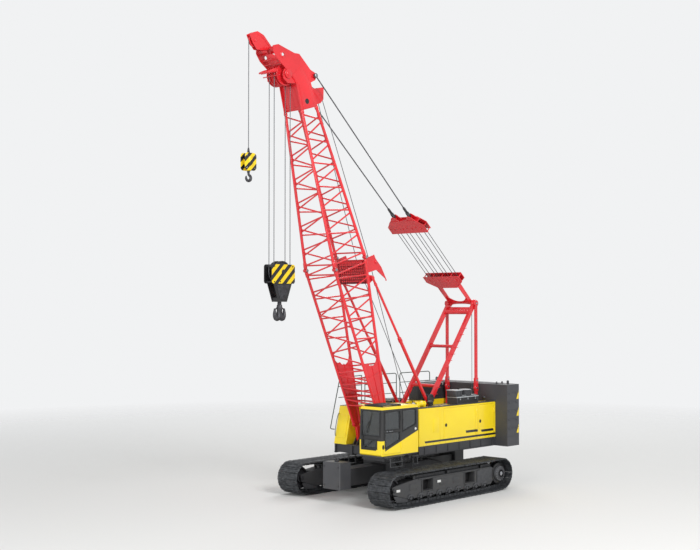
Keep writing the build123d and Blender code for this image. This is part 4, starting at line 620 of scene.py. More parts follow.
# rollers with double flanges, seen between the frame and the ground run
ROLLERS = [(i - 4) * 0.56 for i in range(9)]
flange = [(0.05, 0.092), (0.12, 0.1), (0.13, 0.122), (0.165, 0.122), (0.18, 0.118), (0.18, 0.05)]
roller = turned([(-place, r) for place, r in reversed(flange)] + flange, (0, 0, 0), Y, 20)
spindle = rod((0, -0.262, 0), (0, 0.262, 0), 0.038, 0.006, 16)
moves = [move for x in ROLLERS for move in at_both(x, ROLLER_Z)]
settle(copies(joined([roller, spindle]), moves), "ribbed_track_rollers", "undercarriage", STEEL, 40, ("track_rollers",))

# idler: dished wheel with a raised tread; sprocket: toothed rim on a hub
half = [(0.08, 0.444), (0.08, 0.42), (0.14, 0.415), (0.14, 0.37), (0.05, 0.34), (0.05, 0.2), (0.15, 0.16), (0.15, 0.09)]
idler = turned([(-place, r) for place, r in reversed(half)] + half, (0, 0, 0), Y, 48)
axle = rod((0, -0.275, 0), (0, 0.275, 0), 0.075, 0.01, 28)
settle(copies(joined([idler, axle]), at_both(END_X, END_Z)), "dished_idlers", "undercarriage", STEEL, 40, ("idlers",))
TEETH = 18
teeth = []
for i in range(TEETH):
    for share, radius in ((-0.32, 0.4), (-0.2, 0.442), (0.2, 0.442), (0.32, 0.4)):
        angle = 2 * math.pi * (i + share) / TEETH
        teeth.append((radius * math.cos(angle), radius * math.sin(angle)))
holes = [circle(0.05, 12, (0.27 * math.cos(a), 0.27 * math.sin(a))) for a in (0.5, 1.55, 2.6, 3.64, 4.69, 5.74)]
gear = plate(teeth, side_view(0), 0.09, 0.006, holes)
hub = knob([(-0.19, 0.2), (-0.17, 0.22), (-0.06, 0.225), (-0.06, 0.29), (0.06, 0.29), (0.06, 0.225), (0.17, 0.22),
            (0.19, 0.2)], (0, 0, 0), Y, 36)
settle(copies(joined([gear, hub]), at_both(-END_X, END_Z)), "toothed_sprockets", "undercarriage", STEEL, 40,
       ("sprockets",))

# final drive: stepped gear housing with a ring of bolts and a bright centre cap
for side, sign in (("left", 1), ("right", -1)):
    centre = Vector((-END_X, TRACK_Y * sign, END_Z))
    casing = knob([(0.191, 0.3), (0.33, 0.3), (0.352, 0.285), (0.36, 0.25), (0.375, 0.2), (0.392, 0.17), (0.4, 0.14),
                   (0.4, 0.09), (0.392, 0.085)], centre, Y * sign, 40)
    settle(casing, "drive_casing_" + side, "undercarriage", WEIGHT)
    face = centre + Y * sign * 0.356
    bolts = bolt_heads([face + Vector((x, 0, z)) for x, z in circle(0.265)], Y * sign, 0.014, 0.014)
    settle(bolts, "drive_bolts_" + side, "undercarriage", BRIGHT, 0)
    cap = turned([(0.39, 0.0), (0.39, 0.082), (0.403, 0.08), (0.407, 0.05), (0.409, 0.0)], centre, Y * sign)
    settle(cap, "drive_cap_" + side, "undercarriage", BRIGHT)

# outer sides of the frames: roller guards, rims of the axle sockets, bolted covers and blank plates
guards, rims, covers = [], [], []
GUARD = ((-0.2, 0.29), (-0.15, 0.4), (-0.05, 0.445), (0.05, 0.445), (0.15, 0.4), (0.2, 0.29), (0.14, 0.29), (0.1, 0.36),
         (-0.1, 0.36), (-0.14, 0.29))
for x in ROLLERS:
    guards.append(plate([(x + dx, z) for dx, z in GUARD], side_view(FRAME_OUTER + 0.015), 0.034, 0.004))
    guards.append(pin((x, FRAME_OUTER, ROLLER_Z), Y, -0.01, 0.035, 0.062, 0.01, 20))
for x in AXLE_PLACES:
    rims.append(plate(box(x - 0.34, x + 0.34, 0.45, 0.95), side_view(FRAME_OUTER + 0.012), 0.03, 0.005,
                      [box(x - 0.3, x + 0.3, 0.48, 0.92)]))
rims.append(slab((-2.6, FRAME_OUTER - 0.01, 0.93), (1.8, FRAME_OUTER + 0.03, 0.975)))
rims.append(slab((-2.6, FRAME_OUTER - 0.01, 0.3), (2.3, FRAME_OUTER + 0.012, 0.325), 0.005))
for x in (0.35, -0.45, 2.1):
    covers.append(plate(box(x - 0.2, x + 0.2, 0.58, 0.82), side_view(FRAME_OUTER + 0.004), 0.012))
    covers += [pin((x + dx, FRAME_OUTER, z), Y, 0.0, 0.02, 0.012, 0.003) for dx in (-0.17, 0.17) for z in (0.61, 0.79)]
blanks = [plate(box(x - 0.1, x + 0.1, z - 0.045, z + 0.045), side_view(FRAME_OUTER + 0.012), 0.012, 0.002)
          for x, z in ((2.95, 0.64), (0.6, 0.75))]
# rock guards below the idlers, slide rails between the carrier rollers, drive plates, and black sheets as painted
# shade: a ring for the dark gap round each sprocket hub and plates in the axle sockets' openings
for y in (-0.21, 0.21):
    guards.append(plate([(2.35, 0.18), (2.6, 0.175), (3.0, 0.21), (3.16, 0.46), (2.8, 0.42), (2.35, 0.3)],
                        side_view(TRACK_Y + y), 0.03, 0.006))
for low_x, high_x in ((-2.75, -2.19), (-2.0, -0.1), (0.1, 1.85)):
    guards.append(slab((low_x, TRACK_Y - 0.16, 0.95), (high_x, TRACK_Y + 0.16, 1.085), 0.012))
guards.append(plate([(-2.72, 0.4), (-1.75, 0.36), (-1.75, 0.9), (-2.2, 0.97), (-2.72, 0.94)],
                    side_view(FRAME_OUTER + 0.012), 0.024, 0.005))
# black ring and plates: painted shade in the gap round the hub and in the socket openings
sockets = [turned([(0.2, 0.3), (0.2, 0.42), (0.262, 0.42), (0.268, 0.41), (0.268, 0.3)],
                  (-END_X, TRACK_Y, END_Z), Y, 40)]
sockets += [slab((x - 0.278, 2.352, 0.502), (x + 0.278, 2.385, 0.898), 0.004) for x in AXLE_PLACES]
settle(both(sockets), "hub_gap_and_socket_painted_shade", "undercarriage", BLACK, 35)
for pieces, name, finish in ((guards, "roller_guards", CAST), (rims, "frame_rims", GREY),
                             (covers, "frame_covers", GREY), (blanks, "blank_plates", WHITE)):
    settle(both(pieces), name, "undercarriage", finish, 35)

# track tension cylinder between its guides
tops = [rod((2.0, TRACK_Y, 0.66), (2.75, TRACK_Y, 0.66), 0.085, 0.01, 24),
        rod((2.7, TRACK_Y, 0.66), (2.92, TRACK_Y, 0.66), 0.05, 0.006, 20)]
tops += [slab((2.3, y - 0.02, 0.62), (3.12, y + 0.02, 0.7)) for y in (TRACK_Y + 0.2, TRACK_Y - 0.2)]
settle(both(tops), "track_tensioners", "undercarriage", CAST, 35)

# ---------------------------------------------------------------- carbody and its weights
weld, lugs = [], []
for sign in SIGNS:
    # a cap plate, a lifting lug and four bolts on each weight
    lugs.append(slab((sign * 3.43 - 0.26, -0.43, 1.49), (sign * 3.43 + 0.26, 0.43, 1.52), 0.01))
    lugs.append(plate([(-0.1, 1.5), (0.1, 1.5), (0.1, 1.6), (0.05, 1.66), (-0.05, 1.66), (-0.1, 1.6)],
                      front_view(sign * 3.43), 0.05, 0.006, [circle(0.028, 12, (0, 1.6))]))
    lugs += [pin((sign * 3.74, y, z), X * sign, -0.01, 0.025, 0.04, 0.006) for y in (-0.36, 0.36) for z in (1.36, 0.66)]
settle(lugs, "weight_lugs", "undercarriage", GREY, 35)
for x in AXLE_PLACES:
    weld += [slab((x - 0.3, y - 0.02, 0.49), (x + 0.3, y + 0.02, 0.92)) for y in (1.55, -1.55)]
    weld += [slab((rib - 0.012, -1.5, 0.895), (rib + 0.012, 1.5, 0.925), 0.005) for rib in (x - 0.2, x + 0.2)]
for angle in range(0, 360, 45):
    gusset = slab((0.9, -0.012, 1.24), (1.02, 0.012, 1.34), 0.004)
    weld.append(copies(gusset, [Matrix.Rotation(math.radians(angle + 22.5), 4, "Z")]))
settle(weld, "carbody_ribs", "undercarriage", GREY, 35)
ring_bolts = bolt_heads([(x, y, 1.388) for x, y in circle(0.93, 40)], Z, 0.013, 0.014)
settle(ring_bolts, "slew_ring_bolts", "undercarriage", BRIGHT, 0)
HOSE = ((0.3, 0.5, 0.0, 1.1), (0.8, 1.4, 0.0, 1.31), (1.25, 0.0, 1.2, 1.22), (1.35, 0.0, 1.5, 0.98),
        (1.35, 0.0, 2.05, 0.99), (1.36, 0.0, 2.13, 0.9))  # X forward, share of the hose's Y, Y beyond it, Z
hoses = [bent_pipe([(sign * x, y * share + more, z) for x, share, more, z in HOSE], 0.022)
         for sign in SIGNS for y in (0.35, 0.45)]
settle(hoses, "travel_hoses", "undercarriage", RUBBER)

# ---------------------------------------------------------------- deck and houses
HOUSE_Y, ROOF_Z = 1.6, 3.4


def louvre(x_low, x_high, z_low, z_high, y, count):
    """A louvred grille in a side wall: a rim and slanting slats, outwards from y on either side."""
    sign = 1 if y > 0 else -1
    inner = box(x_low + 0.03, x_high - 0.03, z_low + 0.03, z_high - 0.03)
    rim = plate(box(x_low, x_high, z_low, z_high), side_view(y + sign * 0.01), 0.026, 0.005, [inner])
    pitch = (z_high - z_low - 0.06) / count
    slat = plate([(0.0, 0.0), (0.012, 0.0), (0.022, pitch * 0.75), (0.01, pitch * 0.75)],
                 (Vector(((x_low + x_high) / 2, y, 0)), Y * -sign, Z), x_high - x_low - 0.05, 0.002)
    return joined([rim, copies(slat, [shift(y=sign * 0.02, z=z_low + 0.04 + i * pitch) for i in range(count)])])


def turned_lock(x, z, y):
    """A round door lock with its lever, standing on a side wall."""
    sign = 1 if y > 0 else -1
    cup = turned([(0.0, 0.066), (0.008, 0.07), (0.014, 0.064), (0.014, 0.054), (0.004, 0.046), (0.004, 0.0)],
                 (x, y, z), Y * sign, 24)
    return [cup, slab((x - 0.012, y + min(0, sign * 0.02), z - 0.035), (x + 0.012, y + max(0, sign * 0.02), z + 0.035),
                      0.004)]


# house doors: a raised border and a lock on each, and a louvred field on the right side's
DOORS = (
    # name, front edge, rear edge, side, lock X, louvre from, louvre to
    ("left_door_middle", -0.97, -3.06, 1, -1.11, None, None),
    ("left_door_rear", -3.2, -4.27, 1, -3.33, None, None),
    ("right_door_middle", 0.25, -1.65, -1, 0.1, -1.45, -0.7),
    ("right_door_rear", -1.9, -3.9, -1, -2.05, -3.7, -2.3),
)
for name, front, rear, sign, lock_x, louvre_low, louvre_high in DOORS:
    wall = sign * HOUSE_Y
    border = plate(box(rear + 0.06, front - 0.06, 2.1, 3.27), side_view(wall), 0.012, 0.003,
                   [box(rear + 0.1, front - 0.1, 2.14, 3.23)])
    settle(border, name + "_pressing", name, HOUSE_PAINT if sign > 0 else YELLOW, 35)
    settle(turned_lock(lock_x, 2.66, wall), name + "_lock", name, BLACK, 35)
    if louvre_low:
        settle(louvre(louvre_low, louvre_high, 2.75, 3.15, wall, 8), name + "_louvre", name, BLACK, 30)

# roof edge strips, walkway plates with their ribs, trim strips and panels of both houses
walkways = [slab((-4.39, low_y, ROOF_Z), (high_x, high_y, 3.424))
            for high_x, low_y, high_y in ((0.56, 1.36, HOUSE_Y), (0.56, 0.94, 1.02), (1.6, -HOUSE_Y, -1.48))]
walkways += [slab((x, 1.05, 3.405), (x + 0.03, 1.33, 3.418), 0.003) for x in [-4.3 + i * 0.35 for i in range(14)]]
settle(walkways, "roof_walkways", "upperworks", FLOOR_PLATE, 35)
trim = [slab((x - 0.02, 1.592, 1.99), (x + 0.02, 1.607, 3.36), 0.003) for x in (-3.13, -0.75, 0.5)]
trim.append(slab((0.545, 0.96, 3.33), (0.56, 1.6, 3.37), 0.004))
trim.append(plate(box(-0.68, -0.3, 2.42, 2.98), side_view(HOUSE_Y), 0.014, 0.004))
trim.append(plate(box(1.02, 1.5, 2.2, 3.2), front_view(0.552), 0.014, 0.004))
settle(trim, "left_house_trim", "upperworks", HOUSE_PAINT, 35)
sill = bolt_heads([(-4.3 + 0.4 * i, HOUSE_Y, 2.0) for i in range(12)], Y, 0.014, 0.01)
settle(sill, "left_sill_bolts", "upperworks", BRIGHT, 0)
trim = [slab((x - 0.02, -1.607, 1.99), (x + 0.02, -1.592, 3.36), 0.003) for x in (-4.1, -1.78, 0.4, 1.4)]
trim.append(plate(box(0.55, 1.2, 2.2, 3.0), side_view(-HOUSE_Y), 0.014, 0.004))
settle(trim, "right_house_trim", "upperworks", YELLOW, 35)
# front of the right house: a hatch with its hinges and a grab bar, leaning with the wall
lean = Vector((-0.33, 0, 1.46)).normalized()
wall_foot = Vector((1.936, 0, 1.952))
hatch = [plate(box(-1.5, -1.05, 0.25, 1.15), (wall_foot, Y, lean), 0.024, 0.005)]
hatch += [pin(wall_foot + lean * up + Vector((0.012, -1.04, 0)), lean, -0.05, 0.05, 0.014, 0.003, 12)
          for up in (0.4, 1.0)]
settle(hatch, "front_hatch", "upperworks", YELLOW, 35)
grab = [wall_foot + lean * up + Vector((out, -1.56, 0)) for up, out in ((0.3, 0), (0.3, 0.09), (1.2, 0.09), (1.2, 0))]
settle(bent_pipe(grab, 0.014), "front_grab_bar", "upperworks", RAIL)

# roof boxes: lids with overhanging rims and hinges, louvres, an intake hood and a round canister
lids = []
for low_x, high_x, low_y, high_y, top in ((-4.3, -2.45, -1.46, -0.97, 4.15), (-3.35, -1.95, 0.99, 1.5, 3.74),
                                          (-1.5, -0.7, -1.45, -1.0, 3.57)):
    lids.append(slab((low_x - 0.015, low_y - 0.015, top - 0.07), (high_x + 0.015, high_y + 0.015, top - 0.03), 0.008))
    lids.append(slab((low_x + 0.06, low_y + 0.06, top - 0.01), (high_x - 0.06, high_y - 0.06, top + 0.012)))
    lids += [slab((x - 0.03, high_y - 0.006, top - 0.16), (x + 0.03, high_y + 0.018, top - 0.04), 0.005)
             for x in (low_x + 0.2, (low_x + high_x) / 2, high_x - 0.2)]
CANISTER = (-2.8, 1.245, 3.7)
lids.append(slab((-2.34, 0.99, 3.95), (-1.88, 1.49, 3.98), 0.01))
lids.append(knob([(0.255, 0.25), (0.27, 0.24), (0.285, 0.08)], CANISTER, Z, 36))
hood = [slab((-2.32, 1.0, 3.7), (-1.9, 1.48, 3.96), 0.02),
        knob([(0.0, 0.24), (0.03, 0.255), (0.2, 0.255), (0.21, 0.27), (0.245, 0.27), (0.26, 0.25)], CANISTER, Z, 36)]
hood += [slab((x - 0.012, 1.475, 3.72), (x + 0.012, 1.492, 3.94), 0.004) for x in (-2.22, -2.0)]
settle(hood, "intake_hood", "upperworks", DARK, 35)
# light grey lids: painted highlight of the boxes' bright tops
settle(lids, "roof_box_lids", "upperworks", LID, 35)
settle([louvre(-4.15, -2.6, 3.52, 3.98, -1.46, 9), louvre(-4.15, -2.6, 3.52, 3.98, -0.97, 9),
        louvre(-3.25, -2.05, 3.47, 3.66, 1.5, 4)], "roof_box_louvres", "upperworks", BLACK, 30)
# round guards with a bracket on both sides of the left backstop, near its foot
drum = []
for low_y, high_y in ((0.655, 0.72), (0.91, 0.975)):
    drum.append(knob([(low_y, 0.17), (low_y + 0.02, 0.2), (high_y - 0.02, 0.2), (high_y, 0.17), (high_y, 0.13),
                      (high_y - 0.015, 0.12)], (-0.97, 0.0, 3.66), Y, 36))
    drum.append(slab((-1.12, low_y, 3.2), (-0.82, high_y - 0.02, 3.52), 0.01))
settle(drum, "round_guards", "upperworks", STEEL)
precleaner = turned([(0.0, 0.0), (0.0, 0.08), (0.1, 0.08), (0.11, 0.12), (0.14, 0.13), (0.19, 0.125), (0.22, 0.08),
                     (0.23, 0.0)], (-0.6, 1.2, 3.405), Z)
settle(precleaner, "air_precleaner", "upperworks", BLACK)
tank = [rod((-0.22, 1.25, 3.54), (0.34, 1.25, 3.54), 0.1, 0.03, 28)]
tank += [slab((x - 0.02, 1.13, 3.4), (x + 0.02, 1.37, 3.655)) for x in (-0.12, 0.24)]
settle(tank, "yellow_roof_tank", "upperworks", YELLOW)

# round work lamps, each on a stirrup and facing a direction
WORK_LAMPS = (("left", (0.45, 1.25, 3.55), (1, 0.35, -0.15)), ("right", (1.45, -1.25, 3.55), (1, -0.2, -0.15)),
              ("rear", (-4.2, 1.15, 3.55), (-1, 0.3, -0.1)))
for name, place, direction in WORK_LAMPS:
    direction, place = Vector(direction).normalized(), Vector(place)
    shell = turned([(-0.09, 0.0), (-0.09, 0.03), (-0.07, 0.055), (-0.02, 0.075), (0.0, 0.085), (0.02, 0.085),
                    (0.02, 0.074), (0.008, 0.072)], place, direction)
    foot = pin(place - direction * 0.04, Z, -0.14, -0.04, 0.014, 0.003, 10)
    settle([shell, foot], "house_lamp_" + name, "upperworks", BLACK)
    glass = turned([(0.006, 0.0), (0.006, 0.072), (0.014, 0.072), (0.022, 0.05), (0.026, 0.0)], place, direction)
    settle(glass, "house_lamp_" + name + "_glass", "upperworks", LAMP_GLASS)

# rails from the second hoop to the front steps of the right house
RAIL_Y = -1.52
front_rail = [bent_pipe([(0.42, RAIL_Y, 3.41), (0.42, RAIL_Y, 4.56), (0.42, RAIL_Y, 4.56), (1.68, RAIL_Y, 4.52),
                         (1.68, RAIL_Y, 4.52), (2.1, -1.63, 2.6), (2.1, -1.63, 2.52), (1.9, -1.61, 2.5)], 0.019, 10)]
front_rail.append(rod((1.3, RAIL_Y, ROOF_Z), (1.3, RAIL_Y, 4.53), 0.016, 0.003, 12))
front_rail += [rod((0.42, RAIL_Y, z), (1.75, -1.53, z), 0.014, 0.003, 12) for z in (3.74, 4.17)]
settle(front_rail, "front_rails", "upperworks", RAIL)

# ladder up to the right house, steps in front of the left one, and edge beam plates of the deck
steps = [bent_pipe([(x, -1.6, 1.7), (x, -1.72, 1.7), (x, -1.72, 0.95), (x, -1.66, 0.9)], 0.02) for x in (0.56, 0.96)]
steps += [slab((0.55, -1.76, z - 0.015), (0.97, -1.66, z + 0.015), 0.005) for z in (1.05, 1.32, 1.6)]
steps += [rod((x, 1.58, 1.6), (x, 1.58, 1.0), 0.018, 0.003, 12) for x in (0.62, 0.88)]
steps += [slab((0.6, 1.5, z - 0.015), (0.9, 1.66, z + 0.015), 0.005) for z in (1.05, 1.32)]
steps.append(slab((0.55, 1.3, 1.6), (0.98, 1.62, 1.64)))
settle(steps, "boarding_steps", "upperworks", FLOOR_PLATE, 35)
edge = []
for count, low_y, high_y in ((7, 1.59, 1.625), (9, -1.625, -1.59)):
    edge += [slab((x - 0.01, low_y, 1.62), (x + 0.01, high_y, 1.92), 0.003)
             for x in [-4.1 + 0.72 * i for i in range(count)]]
edge.append(slab((-4.38, 1.59, 1.61), (0.55, 1.64, 1.635), 0.004))
edge.append(slab((-4.38, -1.64, 1.61), (1.89, -1.59, 1.635), 0.004))
settle(edge, "deck_edge_ribs", "upperworks", DARK, 35)

# ---------------------------------------------------------------- counterweight
SEAM_Y = (2.2, -2.2)
SLABS, SLAB_HEIGHT = 6, 0.36
seams = []
for i in range(SLABS):
    z = 1.95 + i * SLAB_HEIGHT
    seams += [slab((-5.18, y - 0.012, z + 0.02), (-4.42, y + 0.012, z + 0.05), 0.004) for y in SEAM_Y]
    if i:
        seams += [slab((x, y - 0.02, z - 0.05), (x + 0.12, y + 0.02, z + 0.03)) for y in SEAM_Y for x in (-4.62, -5.12)]
for y in (1.5, -1.5):
    for x in (-4.62, -5.0):
        seams.append(rod((x, y, 4.1), (x, y, 4.16), 0.05, 0.008, 6))
        seams.append(rod((x, y, 4.1), (x, y, 4.21), 0.026, 0.006, 16))
seams.append(slab((-4.8, -1.7, 4.105), (-4.72, 1.7, 4.125)))
settle(seams, "slab_details", "upperworks", WEIGHT, 35)
triangles = [plate([(-5.19, z), (-5.04, z), (-5.19, z + 0.34)], side_view(sign * 2.204), 0.01, 0.002)
             for z in (2.1, 2.8, 3.5) for sign in SIGNS]
settle(triangles, "hazard_triangles", "upperworks", YELLOW, 35)

# ---------------------------------------------------------------- winches
TURNS, DRUM_HALF = 29, 0.44
flange_bolts, coils, motors = [], [], []
for x, z, drum in ((-0.62, 2.56, 0.27), (-1.9, 2.56, 0.27), (-3.15, 2.52, 0.23)):
    spool = [(-DRUM_HALF, drum)]
    for i in range(TURNS):
        middle = -DRUM_HALF + 2 * DRUM_HALF * (i + 0.5) / TURNS
        spool += [(middle + off, drum + out) for off, out in
                  ((-0.014, 0.006), (-0.007, 0.016), (0.0, 0.019), (0.007, 0.016), (0.014, 0.006))]
    spool += [(DRUM_HALF, drum), (DRUM_HALF, drum - 0.03), (-DRUM_HALF, drum - 0.03)]
    coils.append(turned(spool, (x, 0, z), Y, 40))
    flange_bolts += [pin((px, y, pz), Y, -0.018, 0.018, 0.014, 0.003)
                     for y in (-0.455, 0.455) for px, pz in circle(drum + 0.08, 12, (x, z))]
    motors.append(knob([(0.505, 0.19), (0.56, 0.19), (0.58, 0.15), (0.62, 0.14), (0.64, 0.12)], (x, 0, z), Y))
settle(coils, "rope_on_drums", "upperworks", ROPE_STEEL, 50)
settle(flange_bolts, "drum_flange_bolts", "upperworks", BRIGHT, 0)
settle(motors, "winch_gearboxes", "upperworks", CAST)
PIPE_BENDS = ((1.7, 1), (0.2, 1), (-0.9, 0.5), (-2.3, 1), (-3.9, 1))  # X, and share of the pipe's Y
pipes = [bent_pipe([(x, y * share, 1.965) for x, share in PIPE_BENDS], 0.02)
         for y in [0.08 * i - 0.1 for i in range(4)]]
settle(pipes, "deck_pipes", "upperworks", STEEL)

# ---------------------------------------------------------------- cab
CAB_OUTER, CAB_INNER, CAB_FRONT, CAB_REAR, CAB_TOP = 1.935, 0.865, 3.1, 1.0, 3.62
LOWER_WINDOW = box(0.98, 1.72, 2.09, 2.45)


def seal(points, plane):
    """A rubber seal round a window's outline."""
    return plate(grown(points, 0.022), plane, 0.03, 0.006, [grown(points, -0.018)])


# the front wall leans a little: its seal lies in the wall's own plane
front_plane = (Vector((CAB_FRONT, 0, 2.43)), Y, Vector((-0.04, 0, 1.1)).normalized())
BODY_WINDOWS = (
    ([(1.13, 2.89), (1.89, 2.67), (1.89, 3.47), (1.13, 3.47)], side_view(CAB_OUTER)),
    (box(1.5, 2.85, 2.45, 3.44), side_view(CAB_INNER)), (box(1.015, 1.785, 2.7, 3.4), front_view(CAB_REAR)),
    (box(2.0, 2.8, 1.065, 1.735), top_view(CAB_TOP)), (box(0.95, 1.85, 0.12, 1.05), front_plane),
    (LOWER_WINDOW, front_view(CAB_FRONT)),
)
DOOR_WINDOWS = ([(2.06, 2.77), (2.89, 2.77), (2.89, 3.45), (2.06, 3.45)],
                [(2.06, 2.37), (2.8, 2.12), (2.89, 2.12), (2.89, 2.69), (2.06, 2.69)])
settle([seal(*window) for window in BODY_WINDOWS], "cab_window_seals", "upperworks", RUBBER)
settle([seal(outline, side_view(CAB_OUTER)) for outline in DOOR_WINDOWS], "cab_door_seals", "cab_door", RUBBER)

# bow handle with its lock on the door, round lamp and dark oval lamp on the fixed side
bow = [(2.47, 1.93, 2.73), (2.47, 1.985, 2.73), (2.65, 1.985, 2.73), (2.65, 1.93, 2.73)]
lock = knob([(0.0, 0.03), (0.012, 0.032), (0.018, 0.022)], (2.78, 1.933, 2.73), Y, 20)
settle([bent_pipe(bow, 0.013), lock], "cab_door_handle", "cab_door", BRIGHT)
lamp = turned([(0.0, 0.0), (0.0, 0.045), (0.014, 0.048), (0.026, 0.042), (0.034, 0.03), (0.038, 0.0)],
              (1.157, CAB_OUTER - 0.002, 2.72), Y, 32)
settle(lamp, "cab_side_lamp", "upperworks", WHITE)
oval = turned([(0.0, 0.0), (0.0, 0.05), (0.01, 0.054), (0.016, 0.044), (0.018, 0.0)], (0, 0, 0), Y)
oval.data.transform(shift(2.99, CAB_OUTER - 0.002, 2.17) @ Matrix.Scale(1.6, 4, Z))
settle(oval, "cab_corner_lamp", "upperworks", BLACK)
# ledge under the cab with its brackets, and two steps hung from it
ledge = [slab((1.0, 0.88, 1.775), (3.08, 1.925, 1.835), 0.012), slab((1.98, 1.92, 1.79), (2.98, 2.12, 1.815))]
ledge += [slab((x - 0.015, 1.9, 1.74), (x + 0.015, 2.1, 1.8), 0.004) for x in (2.05, 2.3, 2.66, 2.91)]
ledge += [bent_pipe([(x, 2.08, 1.8), (x, 2.13, 1.6), (x, 2.13, 1.42)], 0.016) for x in (2.15, 2.8)]
ledge += [slab((2.14, 2.09, z - 0.012), (2.81, 2.17, z + 0.012), 0.005) for z in (1.43, 1.6)]
settle(ledge, "cab_ledge_and_steps", "upperworks", FLOOR_PLATE, 35)

# roof: overhanging rim with a raised hatch, and a grille over the roof window
roof = [slab((0.985, 0.85, 3.585), (3.0, 1.95, 3.61), 0.01), slab((1.1, 0.98, 3.61), (1.85, 1.82, 3.64), 0.012)]
settle(roof, "cab_roof_rim", "upperworks", CAB_PAINT)
grille = [slab((x, 0.96, 3.62), (x + 0.04, 1.86, 3.69), 0.008) for x in (1.9, 2.9)]
grille += [rod((1.9, y, 3.675), (2.94, y, 3.675), 0.011, 0.003, 10) for y in [0.98 + 0.106 * i for i in range(9)]]
grille.append(rod((1.25, 1.6, 3.62), (1.25, 1.6, 3.66), 0.05, 0.005, 20))
settle(grille, "cab_roof_guard", "upperworks", BLACK)

# wipers on both front windows: arms, blades and motors
wipers = [bent_pipe([(3.105, 1.0, 2.5), (3.125, 1.02, 2.52), (3.1, 1.35, 3.1)], 0.009),
          bent_pipe([(3.11, 1.1, 2.15), (3.125, 1.12, 2.16), (3.115, 1.4, 2.36)], 0.008),
          rod((3.095, 1.22, 2.62), (3.075, 1.46, 3.42), 0.012, 0.003, 8),
          rod((3.108, 1.28, 2.2), (3.108, 1.52, 2.42), 0.01, 0.003, 8),
          slab((3.09, 0.96, 2.47), (3.13, 1.05, 2.53), 0.008), slab((3.1, 1.07, 2.12), (3.13, 1.14, 2.18))]
settle(wipers, "cab_wipers", "upperworks", BLACK)
surround = plate([(0.93, 2.47), (0.93, 2.1), (0.99, 2.03), (1.62, 2.03), (1.7, 2.1), (1.7, 2.47)],
                 front_view(CAB_FRONT), 0.014, 0.004, [grown(LOWER_WINDOW, -0.045)])
settle(surround, "lower_window_surround", "upperworks", BLACK)

# inside: dashboard, rear cabinet, four levers and a screen
inner = [slab((2.91, 0.93, 1.88), (3.03, 1.3, 2.42), 0.02), slab((1.08, 0.93, 1.88), (1.32, 1.86, 2.55), 0.02)]
for y in (1.02, 1.12, 1.69, 1.79):
    inner.append(rod((1.95, y, 2.49), (1.97, y, 2.66), 0.01, 0.003, 12))
    inner.append(turned([(-0.03, 0.0), (-0.028, 0.014), (0.0, 0.022), (0.028, 0.014), (0.03, 0.0)],
                        (1.972, y, 2.68), Z, 16))
inner.append(plate(box(1.0, 1.26, 2.42, 2.6), front_view(2.95), 0.04, 0.008))
settle(inner, "cab_interior", "upperworks", BLACK)


def cushion(low, high, turn):
    """A stuffed cushion: a block with soft edges, blown up as a cloth cover and left a little fuller."""
    piece = slab(low, high, 0.035)
    piece.data.transform(turn)
    take(piece)
    remesh = piece.modifiers.new("even cover", "REMESH")
    remesh.mode = "VOXEL"
    remesh.voxel_size = 0.006
    bpy.ops.object.modifier_apply(modifier=remesh.name)
    cover = piece.modifiers.new("stuffed cover", "CLOTH")
    cover.settings.use_pressure = True
    cover.settings.uniform_pressure_force = 4.0
    cover.settings.tension_stiffness = 40
    cover.settings.compression_stiffness = 40
    cover.settings.effector_weights.gravity = 0
    before = [vertex.co.copy() for vertex in piece.data.vertices]
    for step in range(1, 21):
        bpy.context.scene.frame_set(step)
    bpy.ops.object.modifier_apply(modifier=cover.name)
    bpy.context.scene.frame_set(1)
    for vertex, place in zip(piece.data.vertices, before):
        move = vertex.co - place
        if move.length > SWELL:
            vertex.co = place + move.normalized() * SWELL
    soften = piece.modifiers.new("smooth cover", "SMOOTH")
    soften.factor = 0.5
    soften.iterations = 6
    bpy.ops.object.modifier_apply(modifier=soften.name)
    return piece


# the seat: cushion, back and head rest, on a frame with bellows, a back shell and two posts
SWELL = 0.012  # how far a cushion's cover may move out
SEAT_HINGE = (1.53, 1.4, 2.32)
tilt = Matrix.Translation(SEAT_HINGE) @ Matrix.Rotation(math.radians(-9.0), 4, "Y") \
    @ Matrix.Translation([-c for c in SEAT_HINGE])
CUSHIONS = (
    ("seat_cushion", (1.54, 1.17, 2.215), (2.0, 1.63, 2.335), HERE),
    ("back_cushion", (1.48, 1.18, 2.33), (1.585, 1.62, 2.86), tilt),
    ("head_rest", (1.485, 1.27, 2.89), (1.565, 1.53, 3.03), tilt),
)
for name, low, high, turn in CUSHIONS:
    piece = settle(cushion(low, high, turn), name, "upperworks", VINYL, 180, ("operator_seat",))
base = [slab((1.5, 1.16, 2.18), (2.0, 1.64, 2.225), 0.01), slab((1.62, 1.26, 1.88), (1.9, 1.54, 1.93), 0.01)]
for i in range(5):
    out, z = 0.01 * (i % 2), 1.93 + i * 0.05
    base.append(slab((1.64 - out, 1.28 - out, z), (1.88 + out, 1.52 + out, z + 0.045), 0.015))
tilted = [slab((1.455, 1.19, 2.2), (1.49, 1.61, 2.86), 0.012)]
tilted += [rod((1.52, y, 2.84), (1.52, y, 2.92), 0.008, 0.002, 10) for y in (1.34, 1.46)]
for piece in tilted:
    piece.data.transform(tilt)
settle(base + tilted, "seat_frame", "upperworks", BLACK, 40, ("operator_seat",))

# ---------------------------------------------------------------- gantry
LEG_FOOT = Vector((-0.29, 0, 2.25))
LEG_LINE = (GANTRY_TOP - LEG_FOOT).normalized()
LEG_SIDE = Vector((-LEG_LINE.z, 0, LEG_LINE.x))
LEG_Y, LINK_X, LINK_Y = 0.665, -4.17, 0.765
LINK_FOOT_Z, LINK_JOINT_Z, LINK_TOP_Z = 2.25, 3.93, 7.47


def on_leg(share, y, out=0.0):
    """A point on a gantry leg, from its foot to the gantry's top, and out from its rear face."""
    return LEG_FOOT + (GANTRY_TOP - LEG_FOOT) * share + Y * y + LEG_SIDE * out


